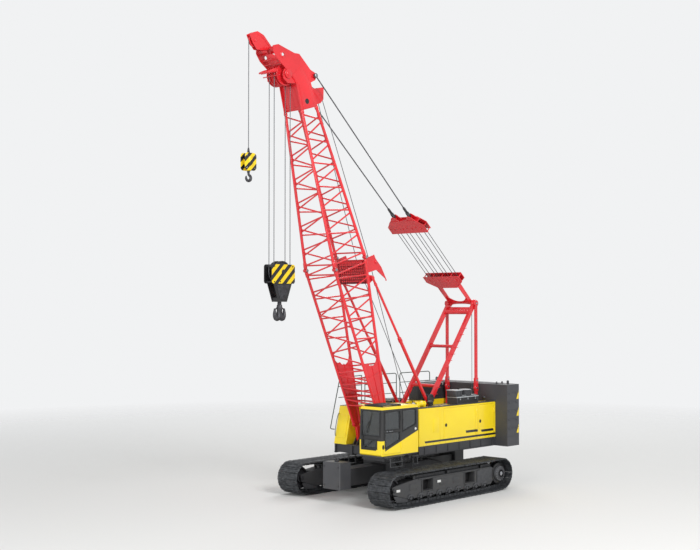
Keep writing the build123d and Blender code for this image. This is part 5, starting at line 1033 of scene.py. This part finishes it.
EYE = [(-0.04, 0.046), (-0.04, 0.125), (-0.03, 0.135), (0.03, 0.135), (0.04, 0.125), (0.04, 0.046)]
gantry, pins = [], []
for sign in SIGNS:
    y = sign * LINK_Y
    # stiffening plates on the legs' faces near the cross tubes, and bosses at their tops
    for share in (0.93, 0.66, 0.36):
        gantry.append(plate([(-0.16, -0.1), (0.16, -0.1), (0.1, 0.1), (-0.1, 0.1)],
                            (on_leg(share, sign * 0.6), LEG_LINE, Y * -sign), 0.025, 0.004))
    gantry.append(turned([(-0.07, 0.05), (-0.07, 0.15), (-0.05, 0.165), (0.05, 0.165), (0.07, 0.15), (0.07, 0.05)],
                         GANTRY_TOP + Y * sign * LEG_Y, Y, 36))
    # the rear links: eyes at both ends, a doubled middle joint with its pins, and a rib
    gantry += [turned(EYE, (LINK_X, y, z), Y, 36) for z in (LINK_JOINT_Z, LINK_TOP_Z, LINK_FOOT_Z)]
    gantry += [slab((-4.27, middle - 0.012, 3.8), (-4.07, middle + 0.012, 4.35), 0.008)
               for middle in (y - 0.038, y + 0.038)]
    gantry.append(slab((-4.2, y - 0.035, 4.6), (-4.14, y + 0.035, 7.2), 0.012))
    pins += [pin((LINK_X, y, z), Y, -0.07, 0.07, 0.04, 0.006, 20) for z in (LINK_JOINT_Z, 4.25)]
    pins.append(pin((LINK_X, 0, LINK_TOP_Z), Y * sign, 0.58, 0.835, 0.043, 0.008, 24))
    pins.append(pin(LEG_FOOT, Y * sign, 0.57, 0.76, 0.043, 0.008, 24))
settle(gantry, "gantry_bosses", "upperworks", RED)
settle(pins, "gantry_pins", "upperworks", BRIGHT)

# step pegs up the left leg, and a cable along the right one
pegs = []
for i in range(15):
    start = on_leg(0.1 + 0.05 * i, LEG_Y)
    pegs.append(bent_pipe([start + Y * 0.055, start + Y * 0.2, start + Y * 0.2 + LEG_LINE * 0.03], 0.011, 3))
settle(pegs, "gantry_step_pegs", "upperworks", RED)
cable = bent_pipe([on_leg(share, -LEG_Y, 0.1) for share in (0.06, 0.3, 0.7, 0.94)], 0.012)
settle(cable, "gantry_cable", "upperworks", RUBBER)
# dark bracket at the foot of the left leg
bracket = [slab((-1.17, 0.58, 3.42), (-1.0, 0.64, 3.62), 0.01), slab((-1.2, 0.54, 3.58), (-0.95, 0.65, 3.64), 0.008)]
settle(bracket, "gantry_rest", "upperworks", STEEL, 35)

# ---------------------------------------------------------------- rope block, bridle and boom hoist ropes
PLACES = (-0.705, -0.235, 0.235, 0.705)
BLOCK_REACH, BRIDLE_REACH = 1.55, 4.59
PIN_CAP = [(0.0, 0.06), (0.01, 0.06), (0.014, 0.03)]
for name, reach, spacer, body in (("gantry", BLOCK_REACH, 0.17, "hoist_block"),
                                 ("bridle", BRIDLE_REACH, -0.17, "bridle")):
    wheels = [sheave(on_hoist(reach, 0.0, y), HOIST_UP, 0.097, 0.017, 0.03, 0.0285) for y in PLACES]
    settle(wheels, name + "_grooved_sheaves", body, STEEL, 40, (name + "_sheaves",))
    caps = [knob(PIN_CAP, on_hoist(reach, sign * 0.125, y), HOIST_UP * sign, 20) for y in PLACES for sign in SIGNS]
    settle(caps, name + "_pin_caps", body, RED)
    spacers = [pin(on_hoist(reach + spacer, 0.0, y), HOIST_UP, -0.115, 0.115, 0.022, 0.004, 14)
               for y in (-0.92, -0.47, 0.0, 0.47, 0.92)]
    settle(spacers, name + "_spacers", body, RED)

# eight parts of rope run between the two rows of sheaves
BEND_RADIUS, STRAND = 0.09, 0.0135
strands = []
for y in PLACES:
    for sign in SIGNS:
        ends = [on_hoist(reach, 0.0, y + sign * BEND_RADIUS) for reach in (BLOCK_REACH, BRIDLE_REACH)]
        strands.append(swept(ends, STRAND))
    for reach, start in ((BLOCK_REACH, 90), (BRIDLE_REACH, -90)):
        strands.append(swept(wrap(on_hoist(reach, 0.0, y), BEND_RADIUS, start, 180, HOIST_LINE, Y), STRAND))
settle(strands, "boom_hoist_ropes", ("hoist_block", "bridle", on_hoist(1.75), on_hoist(4.4)), ROPE_STEEL, 60)
# the lead of the boom hoist rope from its winch to the gantry's top
lead = swept([(-3.3, 0.42, 2.3), (-4.08, 0.62, 2.15), (-4.08, 0.62, 7.26)], 0.012)
settle(lead, "boom_hoist_lead", "upperworks", ROPE_STEEL, 60)

# an arched plate between the gantry legs' tops
arch = box(-0.61, 0.61, 0.0, 0.3)
arch = [arch[1], arch[2], arch[3], arch[0]]
for i in range(11):
    a = math.pi * (1 - i / 10)
    arch.append((0.54 * math.cos(a), 0.17 * math.sin(a)))
top_arch = plate(arch, (on_leg(0.925, 0.0, 0.02), Y, LEG_LINE), 0.03, 0.006)
settle(top_arch, "gantry_head_arch", "upperworks", RED, 35)
# a waisted web ties the rope block's arms: its upper edge sweeps up into them
shares = [-1 + i / 8 for i in range(17)]
waisted = [(0.54 * share, 0.13 + 0.4 * abs(share) ** 2.5) for share in shares]
waisted += [(0.54 * share, -0.02 - 0.06 * abs(share) ** 3) for share in reversed(shares)]
settle(plate(waisted, (on_hoist(0.0), Y, HOIST_LINE), 0.03, 0.006), "rope_block_web", "hoist_block", RED, 35)

# raised lugs round the pendants' pins, in front of the bridle's plates, and ties between the plates
lugs = []
LUG = ((0.16, 4.98), (0.29, 5.2), (0.34, 5.25), (0.46, 5.25), (0.51, 5.2), (0.76, 4.9), (0.66, 4.86), (0.2, 4.86))
for above in (0.095, -0.095):
    for sign in SIGNS:
        lugs.append(plate([(sign * y, reach) for y, reach in LUG], (on_hoist(0.0, above), Y, HOIST_LINE), 0.022, 0.005))
slope = Matrix.Rotation(-math.atan2(HOIST_LINE.z, HOIST_LINE.x), 4, "Y")
for y in (-0.93, -0.5, 0.5, 0.93):
    lugs.append(slab((-0.012, y - 0.02, -0.1), (0.012, y + 0.02, 0.1), 0.004))
    lugs[-1].data.transform(Matrix.Translation(on_hoist(4.72)) @ slope)
settle(lugs, "bridle_lugs", "bridle", RED)

# bolts of the rope block's and bridle's plates, and the pendants' sockets
for body, reach in (("hoist_block", 1.72), ("bridle", 4.65)):
    heads = [rod(place - HOIST_UP * 0.004, place + HOIST_UP * sign * 0.016, 0.02, 0.003, 6)
             for sign in SIGNS for place in [on_hoist(reach, sign * 0.125, y) for y in (-0.85, -0.47, 0.0, 0.47, 0.85)]]
    settle(heads, body + "_bolts", body, RED, 0)
ends = []
for sign in SIGNS:
    centre = on_hoist(5.19, 0.0, sign * 0.4)
    ends += [rod(centre + Y * side * 0.04, centre + Y * side * 0.062, 0.045, 0.005) for side in SIGNS]
    ends.append(turned([(0.0, 0.026), (0.0, 0.05), (0.3, 0.052), (0.34, 0.04), (0.38, 0.03), (0.38, 0.025)],
                       on_hoist(5.31, 0.0, sign * 0.4), HOIST_LINE))
settle(ends, "pendant_sockets", "bridle", STEEL)

# ---------------------------------------------------------------- backstops
BACKSTOP_TOP, BACKSTOP_FOOT, BACKSTOP_Y = on_boom(6.25, 0.98), Vector((-1.6, 0, 2.48)), 0.815
STOP_LINE = (BACKSTOP_TOP - BACKSTOP_FOOT).normalized()
collars, rod_collars = [], []
for sign in SIGNS:
    foot, top = [place + Y * sign * BACKSTOP_Y for place in (BACKSTOP_FOOT, BACKSTOP_TOP)]
    for place in (0.25, 0.9, 4.22):
        collars.append(turned([(-0.04, 0.066), (-0.04, 0.082), (0.04, 0.082), (0.04, 0.066)],
                              foot + STOP_LINE * place, STOP_LINE))
    collars.append(turned([(-0.03, 0.05), (-0.03, 0.078), (0.05, 0.078), (0.07, 0.06), (0.07, 0.05)],
                          foot + STOP_LINE * 4.3, STOP_LINE))
    rod_collars.append(turned([(0.0, 0.048), (0.0, 0.06), (0.06, 0.06), (0.08, 0.05), (0.08, 0.048)],
                              top - STOP_LINE * 0.32, STOP_LINE, 24))
settle(collars, "backstop_collars", "backstop_barrels", RED)
settle(rod_collars, "backstop_rod_collars", "backstop_rods", RED)

# ---------------------------------------------------------------- boom
# the chords spread from the foot to the joint of the sections and draw in again to the top
JOINT, TOP = 7.11, 13.0
FOOT_BACK, JOINT_BACK, FRONT_TOP_BACK, REAR_TOP_BACK = 0.1, 0.86, 0.43, 0.33
FOOT_Y, JOINT_Y, TOP_Y = 0.72, 0.76, 0.43
CHORD_BORE = 0.0545  # sleeves and collars fit round a chord


def chord(along, face, sign):
    """A point on a chord's centre line: face is -1 at the front and 1 at the rear."""
    if along < JOINT:
        share = along / JOINT
        back, side = FOOT_BACK + (JOINT_BACK - FOOT_BACK) * share, FOOT_Y + (JOINT_Y - FOOT_Y) * share
    else:
        share = (along - JOINT) / (TOP - JOINT)
        back = JOINT_BACK + ((FRONT_TOP_BACK if face < 0 else REAR_TOP_BACK) - JOINT_BACK) * share
        side = JOINT_Y + (TOP_Y - JOINT_Y) * share
    return on_boom(along, face * back, sign * side)


# sleeves, pins and bosses of the joint between the sections
sleeves, pins = [], []
for face in (-1, 1):
    for sign in SIGNS:
        for start, end in ((6.86, 7.03), (7.19, 7.4)):
            low, line = chord(start, face, sign), chord(end, face, sign) - chord(start, face, sign)
            rims = [(0.0, CHORD_BORE), (0.0, 0.066), (0.012, 0.07), (line.length - 0.012, 0.07),
                    (line.length, 0.066), (line.length, CHORD_BORE)]
            sleeves.append(turned(rims, low, line))
        centre = on_boom(JOINT, face * JOINT_BACK, sign * JOINT_Y)
        pins.append(pin(centre, Y, -0.105, 0.105, 0.04, 0.007, 24))
        for side in SIGNS:
            pins.append(pin(centre, Y * side, 0.085, 0.097, 0.055, 0.004, 24))
            boss = [(0.069, 0.03), (0.069, 0.062), (0.077, 0.066), (0.083, 0.06), (0.083, 0.03)]
            sleeves.append(turned(boss, centre, Y * side, 24))
settle(sleeves, "joint_sleeves", "boom", RED)
settle(pins, "joint_pins", "boom", BRIGHT)

# gussets where the lacings meet the chords, and collars round the chords' ends
gussets = []
for start, pitch, count in ((3.25, (6.81 - 3.25) / 8.5, 8), (7.41, (12.9 - 7.41) / 12.5, 12)):
    for i in range(count + 1):
        for face in (-1, 1):
            sign = 1 if i % 2 == 0 else -1
            here = chord(start + i * pitch, face, sign)
            ahead = (chord(start + i * pitch + 0.05, face, sign) - here).normalized()
            inward = (Y * -sign - ahead * (Y * -sign).dot(ahead)).normalized()
            gussets.append(plate([(-0.1, 0.0), (0.1, 0.0), (0.05, 0.045), (-0.05, 0.045)],
                                 (here + inward * 0.045, ahead, inward), 0.012))
COLLAR = [(0.0, CHORD_BORE), (0.0, 0.068), (0.01, 0.072), (0.09, 0.072), (0.1, 0.068), (0.1, CHORD_BORE)]
for along in (0.62, 12.9):
    for face in (-1, 1):
        for sign in SIGNS:
            low = chord(along, face, sign)
            gussets.append(turned(COLLAR, low, chord(along + 0.05, face, sign) - low, 24))
settle(gussets, "lacing_gussets", "boom", RED)

# perforated walkway panel in the rear face below the joint
foot, top = [chord(along, 1, 0) for along in (6.1, 7.028)]
climb = (top - foot).normalized()
length = (top - foot).length
holes = [circle(0.033, 10, (-0.55 + 0.11 * column, 0.1 + row * (length - 0.2) / 7))
         for row in range(8) for column in range(11)]
panel = plate([(-0.7, 0.0), (0.7, 0.0), (0.708, length), (-0.708, length)],
              (foot + Y.cross(climb) * 0.0363, Y, climb), 0.012, 0.003, holes)
settle(panel, "perforated_walkway", "boom", STEEL, 0)

# bosses on the backstops' lugs and the horns, and the rope roller between the horns
HORN = on_boom(6.76, 1.4)
HORN_BOSSES = ((on_boom(6.25, 0.98), 0.786, 0.058), (HORN, 0.785, 0.06), (on_boom(5.95, 1.74), 0.775, 0.035))
bosses = [knob([(0.752, radius), (high - 0.008, radius), (high, radius - 0.01)], place, Y * sign, 24)
          for sign in SIGNS for place, high, radius in HORN_BOSSES]
settle(bosses, "horn_bosses", "boom", RED)
roller = turned([(-0.6, 0.031), (-0.6, 0.075), (-0.56, 0.085), (-0.52, 0.06), (0.52, 0.06), (0.56, 0.085), (0.6, 0.075),
                 (0.6, 0.031)], HORN, Y, 32)
settle(roller, "rope_roller", "boom", STEEL)

# foot: bushes, pins with keeper plates, stiffeners on the foot plates
bushes, foot_pins = [], []
for sign in SIGNS:
    for side in SIGNS:
        bushes.append(turned([(0.058, 0.072), (0.058, 0.13), (0.0625, 0.132), (0.0625, 0.072)],
                             BOOM_FOOT + Y * sign * FOOT_Y, Y * side, 32))
    for outline in (box(0.6, 3.1, -0.015, 0.015), box(1.9, 1.93, -0.24, 0.24), box(2.7, 2.73, -0.3, 0.3)):
        bushes += [plate(outline, boom_side(sign * FOOT_Y + side * 0.03), 0.022, 0.004) for side in SIGNS]
    outer = BOOM_FOOT + Y * sign * 0.84
    foot_pins.append(pin(outer, Y * sign, -0.02, 0.012, 0.088, 0.01, 28))
    keeper = Vector((0.11, 0.008, 0.03))
    foot_pins.append(slab(outer - keeper, outer + keeper, 0.005))
settle(bushes, "foot_stiffeners", "boom", RED)
settle(foot_pins, "foot_pin_caps", "upperworks", BRIGHT)

# ---------------------------------------------------------------- boom head
HEAD_AXLE, HEAD_ROLLER = on_boom(14.38, -0.72), on_boom(13.38, 0.9)
wheels = [sheave(HEAD_AXLE + Y * y, Y, 0.4, 0.021, 0.034, 0.0603) for y in (0.13, -0.13)]
wheels += [sheave(HEAD_AXLE + Y * y, Y, 0.4, 0.021, 0.024, 0.0603) for y in (0.245, -0.245, 0.03, -0.03)]
wheels.append(sheave(TIP_AXLE, Y, 0.222, 0.018, 0.03, 0.0343))
wheels.append(turned([(-0.185, 0.0303), (-0.185, 0.12), (-0.17, 0.125), (-0.155, 0.1), (0.155, 0.1), (0.17, 0.125),
                      (0.185, 0.12), (0.185, 0.0303)], HEAD_ROLLER, Y, 32))
settle(wheels, "head_grooved_sheaves", "boom", RED, 40, ("head_sheaves",))
caps, doublers, hole_shade_discs = [], [], []
for sign in SIGNS:
    for place, out, radius, group in ((HEAD_AXLE, 0.48, 0.085, doublers), (TIP_AXLE, 0.105, 0.05, doublers),
                                      (PENDANT_TOP, 0.55, 0.06, caps)):
        group.append(knob([(out - 0.012, radius), (out + 0.004, radius), (out + 0.012, radius * 0.8)], place, Y * sign))
    # doubler on the cheek, round a black disc in its hole as painted shade, and rims round two bores
    doubler = [(13.03, -0.38), (13.9, -0.33), (14.3, -0.55), (14.52, -0.02), (13.92, 0.228), (13.03, 0.3)]
    doublers.append(plate(doubler, boom_side(sign * 0.458), 0.014, 0.004, [circle(0.1, 24, (13.27, -0.1))]))
    hole_shade_discs.append(knob([(0.452, 0.1), (0.459, 0.1)], on_boom(13.27, -0.1), Y * sign, 24))
    doublers.append(turned([(0.454, 0.0755), (0.454, 0.125), (0.462, 0.128), (0.468, 0.12), (0.468, 0.0755)],
                           on_boom(15.08, -0.79), Y * sign, 36))
    doublers.append(turned([(0.454, 0.061), (0.454, 0.16), (0.464, 0.165), (0.47, 0.155), (0.47, 0.061)],
                           HEAD_AXLE, Y * sign, 40))
settle(caps, "head_pin_caps", "boom", BRIGHT)
settle(doublers, "head_doublers", "boom", RED)
# black discs in the doublers' holes: painted shade
settle(hole_shade_discs, "cheek_hole_painted_shade_discs", "boom", BLACK)


def cross_bar(along, back, half, radius, rim, sides):
    """A round bar across the boom."""
    return pin(on_boom(along, back), Y, -half, half, radius, rim, sides)


guards = [cross_bar(along, back, 0.43, 0.02, 0.005, 14)
          for along, back in ((14.56, -1.2), (14.83, -0.95), (14.42, -1.14), (14.62, -0.3), (14.2, -0.28))]
settle(guards, "head_rope_guards", "boom", RED)
# fork of the rope guard, out in front of the main sheaves, and the web behind it
fork = [cross_bar(14.6, -1.44, 0.27, 0.03, 0.008, 16), cross_bar(14.62, -1.2, 0.27, 0.022, 0.006, 14)]
fork += [plate([(14.55, -0.9), (14.57, -1.4), (14.6, -1.48), (14.64, -1.44), (14.67, -1.2), (14.67, -0.9)],
               boom_side(sign * 0.25), 0.03, 0.006) for sign in SIGNS]
settle(fork, "rope_guard_fork", "boom", RED)
# the web leans in towards its top, clear of the falls with the boom at its steepest
web_foot, web_line = on_boom(13.02, -0.415), on_boom(13.985, -0.35) - on_boom(13.02, -0.415)
web = plate(box(-0.43, 0.43, 0.0, web_line.length), (web_foot, Y, web_line.normalized()), 0.02, 0.005)
settle(web, "head_front_web", "boom", RED, 35)
settle(cross_bar(15.0, -1.02, 0.43, 0.032, 0.006, 18), "rope_anchor_bar", "boom", RED)
# tip arm: stiffened edges and a cross bar
edges = [plate([(15.45, -0.98), (15.86, -1.2), (15.98, -1.42), (15.93, -1.44), (15.83, -1.25), (15.46, -1.03)],
               boom_side(sign * 0.095), 0.014, 0.004) for sign in SIGNS]
edges.append(cross_bar(15.62, -1.28, 0.08, 0.03, 0.005, 16))
settle(edges, "tip_arm_edges", "boom", RED)

# hoist ropes up the boom's rear: from the head roller over the horn roller to the drums
HOIST_ROPE = 0.013
for y, drum_x, head_y, name in ((0.36, -0.62, 0.13, "main"), (-0.3, -1.9, -0.03, "auxiliary")):
    over_head, over_horn = HEAD_ROLLER + BACK * 0.114 + Y * y * 0.35, HORN + BACK * 0.073 + Y * y
    over = wrap(HEAD_ROLLER + Y * y * 0.35, 0.114, 90, -70, ALONG, BACK)
    over.append(HEAD_AXLE + Y * head_y + BACK * 0.38 + ALONG * 0.02)
    settle([swept([over_head, over_horn], HOIST_ROPE), swept(over, HOIST_ROPE)], name + "_lead_upper", "boom",
           ROPE_STEEL, 60)
    end = Vector((drum_x + 0.2, y * 0.9, 2.76))
    settle(swept([over_horn, end], HOIST_ROPE), name + "_lead_lower", ("boom", "upperworks", over_horn, end),
           ROPE_STEEL, 60)

# ---------------------------------------------------------------- main hook block
AXLE_X, BLOCK_Z, SHEAVES_Y = MAIN_AXLE.x, 8.565, (0.13, -0.13)
wheels = [sheave((AXLE_X, y, BLOCK_Z), Y, 0.398, 0.021, 0.034, 0.0603) for y in SHEAVES_Y]
settle(wheels, "main_block_grooved_sheaves", "main_block", STEEL, 40, ("main_block_sheaves",))
CORNERS = ((-0.45, 0.2), (0.45, 0.2), (-0.45, -0.35), (0.45, -0.35))
cheeks, yoke, pins = [], [], []
for sign in SIGNS:
    cheeks.append(plate(round_box(AXLE_X, BLOCK_Z - 0.072, 0.475, 0.253, 0.09), side_view(sign * 0.206), 0.01))
    yoke.append(plate([(AXLE_X - 0.3, 8.1), (AXLE_X + 0.3, 8.1), (AXLE_X + 0.14, 7.58), (AXLE_X - 0.14, 7.58)],
                      side_view(sign * 0.184), 0.014, 0.004))
    pins.append(knob([(0.208, 0.09), (0.225, 0.09), (0.232, 0.075)], (AXLE_X, 0, BLOCK_Z), Y * sign))
    pins += [pin((AXLE_X + x, 0, BLOCK_Z + z), Y * sign, 0.2, 0.228, 0.026)
             for x, z in (*CORNERS, (-0.15, -0.35), (0.15, -0.35))]
settle(cheeks, "block_cheek_faces", "main_block", STRIPES, 35)
yoke += [pin((AXLE_X + x, 0, BLOCK_Z + z), Y, -0.19, 0.19, 0.032, 0.006, 18) for x, z in CORNERS]
yoke.append(slab((AXLE_X - 0.16, -0.13, 7.52), (AXLE_X + 0.16, 0.13, 7.66), 0.02))
yoke.append(turned([(0.0, 0.064), (0.0, 0.14), (0.03, 0.15), (0.05, 0.14), (0.05, 0.064)], (AXLE_X, 0, 7.66), Z, 32))
settle(yoke, "block_yoke_details", "main_block", STEEL)
settle(pins, "block_pins", "main_block", BLACK)
bends = [swept(wrap(Vector((AXLE_X, y, BLOCK_Z)), 0.3943, 180, 180), 0.014) for y in SHEAVES_Y]
settle(bends, "block_rope_bends", "main_block", ROPE_STEEL, 60)


def forged(x, z, line, thickness):
    """A forged hook: a bar swept along its middle line, whose points are out, up and a radius each."""
    return swept([(x + out, 0, z + up) for out, up, _ in line], thickness, 3, [radius for *_, radius in line], 12, 4)


# ramshorn hook: two horns swept from the shank, each with its latch, and a nut above the crosshead
HORN_LINE = ((0.0, 0.14, 0.085), (0.02, -0.02, 0.095), (0.04, -0.15, 0.1), (0.08, -0.215, 0.1), (0.16, -0.22, 0.095),
             (0.22, -0.13, 0.08), (0.235, -0.03, 0.062), (0.23, 0.07, 0.045), (0.235, 0.14, 0.028))
hook = []
for sign in SIGNS:
    hook.append(forged(AXLE_X, 7.125, [(sign * out, up, radius) for out, up, radius in HORN_LINE], 0.085))
    latch = slab((-0.012, -0.03, 0.0), (0.012, 0.03, 0.2), 0.005)
    latch.data.transform(shift(AXLE_X + sign * 0.07, 0, 7.33) @ Matrix.Rotation(math.radians(sign * 128), 4, "Y"))
    hook.append(latch)
hook.append(knob([(-0.2, 0.06), (0.0, 0.09), (0.1, 0.1), (0.24, 0.1), (0.28, 0.075), (0.4, 0.07), (0.5, 0.062),
                  (0.52, 0.06), (0.68, 0.058)], (AXLE_X, 0, 7.125), Z, 32))
hook.append(knob([(0.0, 0.1), (0.012, 0.105), (0.06, 0.105), (0.072, 0.095)], (AXLE_X, 0, 7.652), Z, 6))
settle(hook, "forged_ramshorn_hook", "main_hook", STEEL, 50, ("main_hook",))

# ---------------------------------------------------------------- auxiliary hook block
AUX_X, AUX_TOP = 7.889, 12.7
ball = knob([(0.0, 0.06), (-0.02, 0.075), (-0.06, 0.075), (-0.08, 0.11), (-0.12, 0.16), (-0.3, 0.17), (-0.46, 0.16),
             (-0.54, 0.11), (-0.6, 0.075), (-0.62, 0.06)], (AUX_X, 0, AUX_TOP), Z, 40)
plates = [plate(round_box(AUX_X, AUX_TOP - 0.31, 0.14, 0.19, 0.12), side_view(sign * 0.115), 0.03, 0.006)
          for sign in SIGNS]
settle([ball, *plates], "aux_block_body", "aux_block", SMALL_STRIPES, 40, ("aux_block",))
bolts = [pin((AUX_X + x, 0, AUX_TOP + z), Y * sign, 0.12, 0.142, 0.024) for sign in SIGNS
         for x, z in ((-0.18, -0.09), (0.18, -0.09), (-0.18, -0.53), (0.18, -0.53), (0.0, -0.31))]
settle(bolts, "aux_block_bolts", "aux_block", BRIGHT, 0)
throat = forged(AUX_X, 11.83, ((0.0, 0.24, 0.04), (0.0, 0.14, 0.042), (-0.02, 0.1, 0.045), (-0.105, 0.06, 0.05),
                               (-0.11, -0.06, 0.052), (0.0, -0.118, 0.052), (0.098, -0.07, 0.046),
                               (0.115, 0.02, 0.034), (0.1, 0.06, 0.02)), 0.05)
shank = knob([(-0.02, 0.04), (0.0, 0.05), (0.06, 0.05), (0.08, 0.044), (0.28, 0.044)], (AUX_X, 0, 12.02), Z)
settle([throat, shank], "forged_aux_hook", "aux_hook", STEEL, 50, ("aux_hook",))
socket = knob([(0.0, 0.045), (0.02, 0.05), (0.16, 0.032), (0.2, 0.022)], (AUX_X, 0, AUX_TOP - 0.01), Z, 24)
settle(socket, "aux_rope_socket", "aux_block", STEEL)

# ---------------------------------------------------------------- floor, light and camera
bpy.ops.mesh.primitive_plane_add(size=400, location=(0, 0, 0))
floor = bpy.context.view_layer.objects.active
floor.name = "studio_floor"
# the floor fades into the pale background with distance
material, tree, place = new_finish("pale studio floor")
dress(material, {"Base Color": "#e4e4e2", "Roughness": 0.85})
away = add(tree, "VectorMath", {0: place}, "Value", operation="LENGTH")
fade = add(tree, "MapRange", {"Value": away, "From Min": 14.0, "From Max": 46.0}, "Result")
shader = tree.nodes["Principled BSDF"].outputs["BSDF"]
faded = add(tree, "MixShader", {0: fade, 1: shader, 2: add(tree, "BsdfTransparent", {})})
fill(tree, tree.nodes["Material Output"], {"Surface": faded})
floor.data.materials.append(material)

# the sky lights the crane softly; straight, glossy and transmitted rays see it white
world = bpy.data.worlds.new("studio")
bpy.context.scene.world = world
world.use_nodes = True
tree = world.node_tree
seen = add(tree, "LightPath", {}, "Is Camera Ray")
for kind in ("Is Glossy Ray", "Is Transmission Ray"):
    seen = add(tree, "Math", {0: seen, 1: add(tree, "LightPath", {}, kind)}, operation="MAXIMUM")
strength = add(tree, "MapRange", {"Value": seen, "To Min": 0.55, "To Max": 1.0}, "Result")
fill(tree, tree.nodes["Background"], {"Color": "#f1f2f3", "Strength": strength})

LAMPS = (
    ("key lamp", (14, 40, 30), 18, 15000),
    ("front fill lamp", (44, 10, 9), 20, 7000),
    ("rear fill lamp", (-30, -20, 30), 20, 5000),
)
for name, place, size, power in LAMPS:
    light = bpy.data.lights.new(name, "AREA")
    light.size = size
    light.energy = power
    lamp = bpy.data.objects.new(name, light)
    lamp.location = place
    lamp.visible_camera = False
    lamp.rotation_euler = (Vector((0, 0, 6)) - Vector(place)).to_track_quat("-Z", "Y").to_euler()
    bpy.context.scene.collection.objects.link(lamp)

yaw, pitch = math.radians(223.32), math.radians(1.592)
view = bpy.data.cameras.new("camera")
view.sensor_width = 36
view.lens = 59.73
view.clip_end = 1000
camera = bpy.data.objects.new("camera", view)
camera.location = (34.924, 30.377, 7.305)
heading = Vector((math.cos(pitch) * math.cos(yaw), math.cos(pitch) * math.sin(yaw), math.sin(pitch)))
camera.rotation_euler = heading.to_track_quat("-Z", "Y").to_euler()
bpy.context.scene.collection.objects.link(camera)
bpy.context.scene.camera = camera
bpy.context.scene.view_settings.view_transform = "Standard"
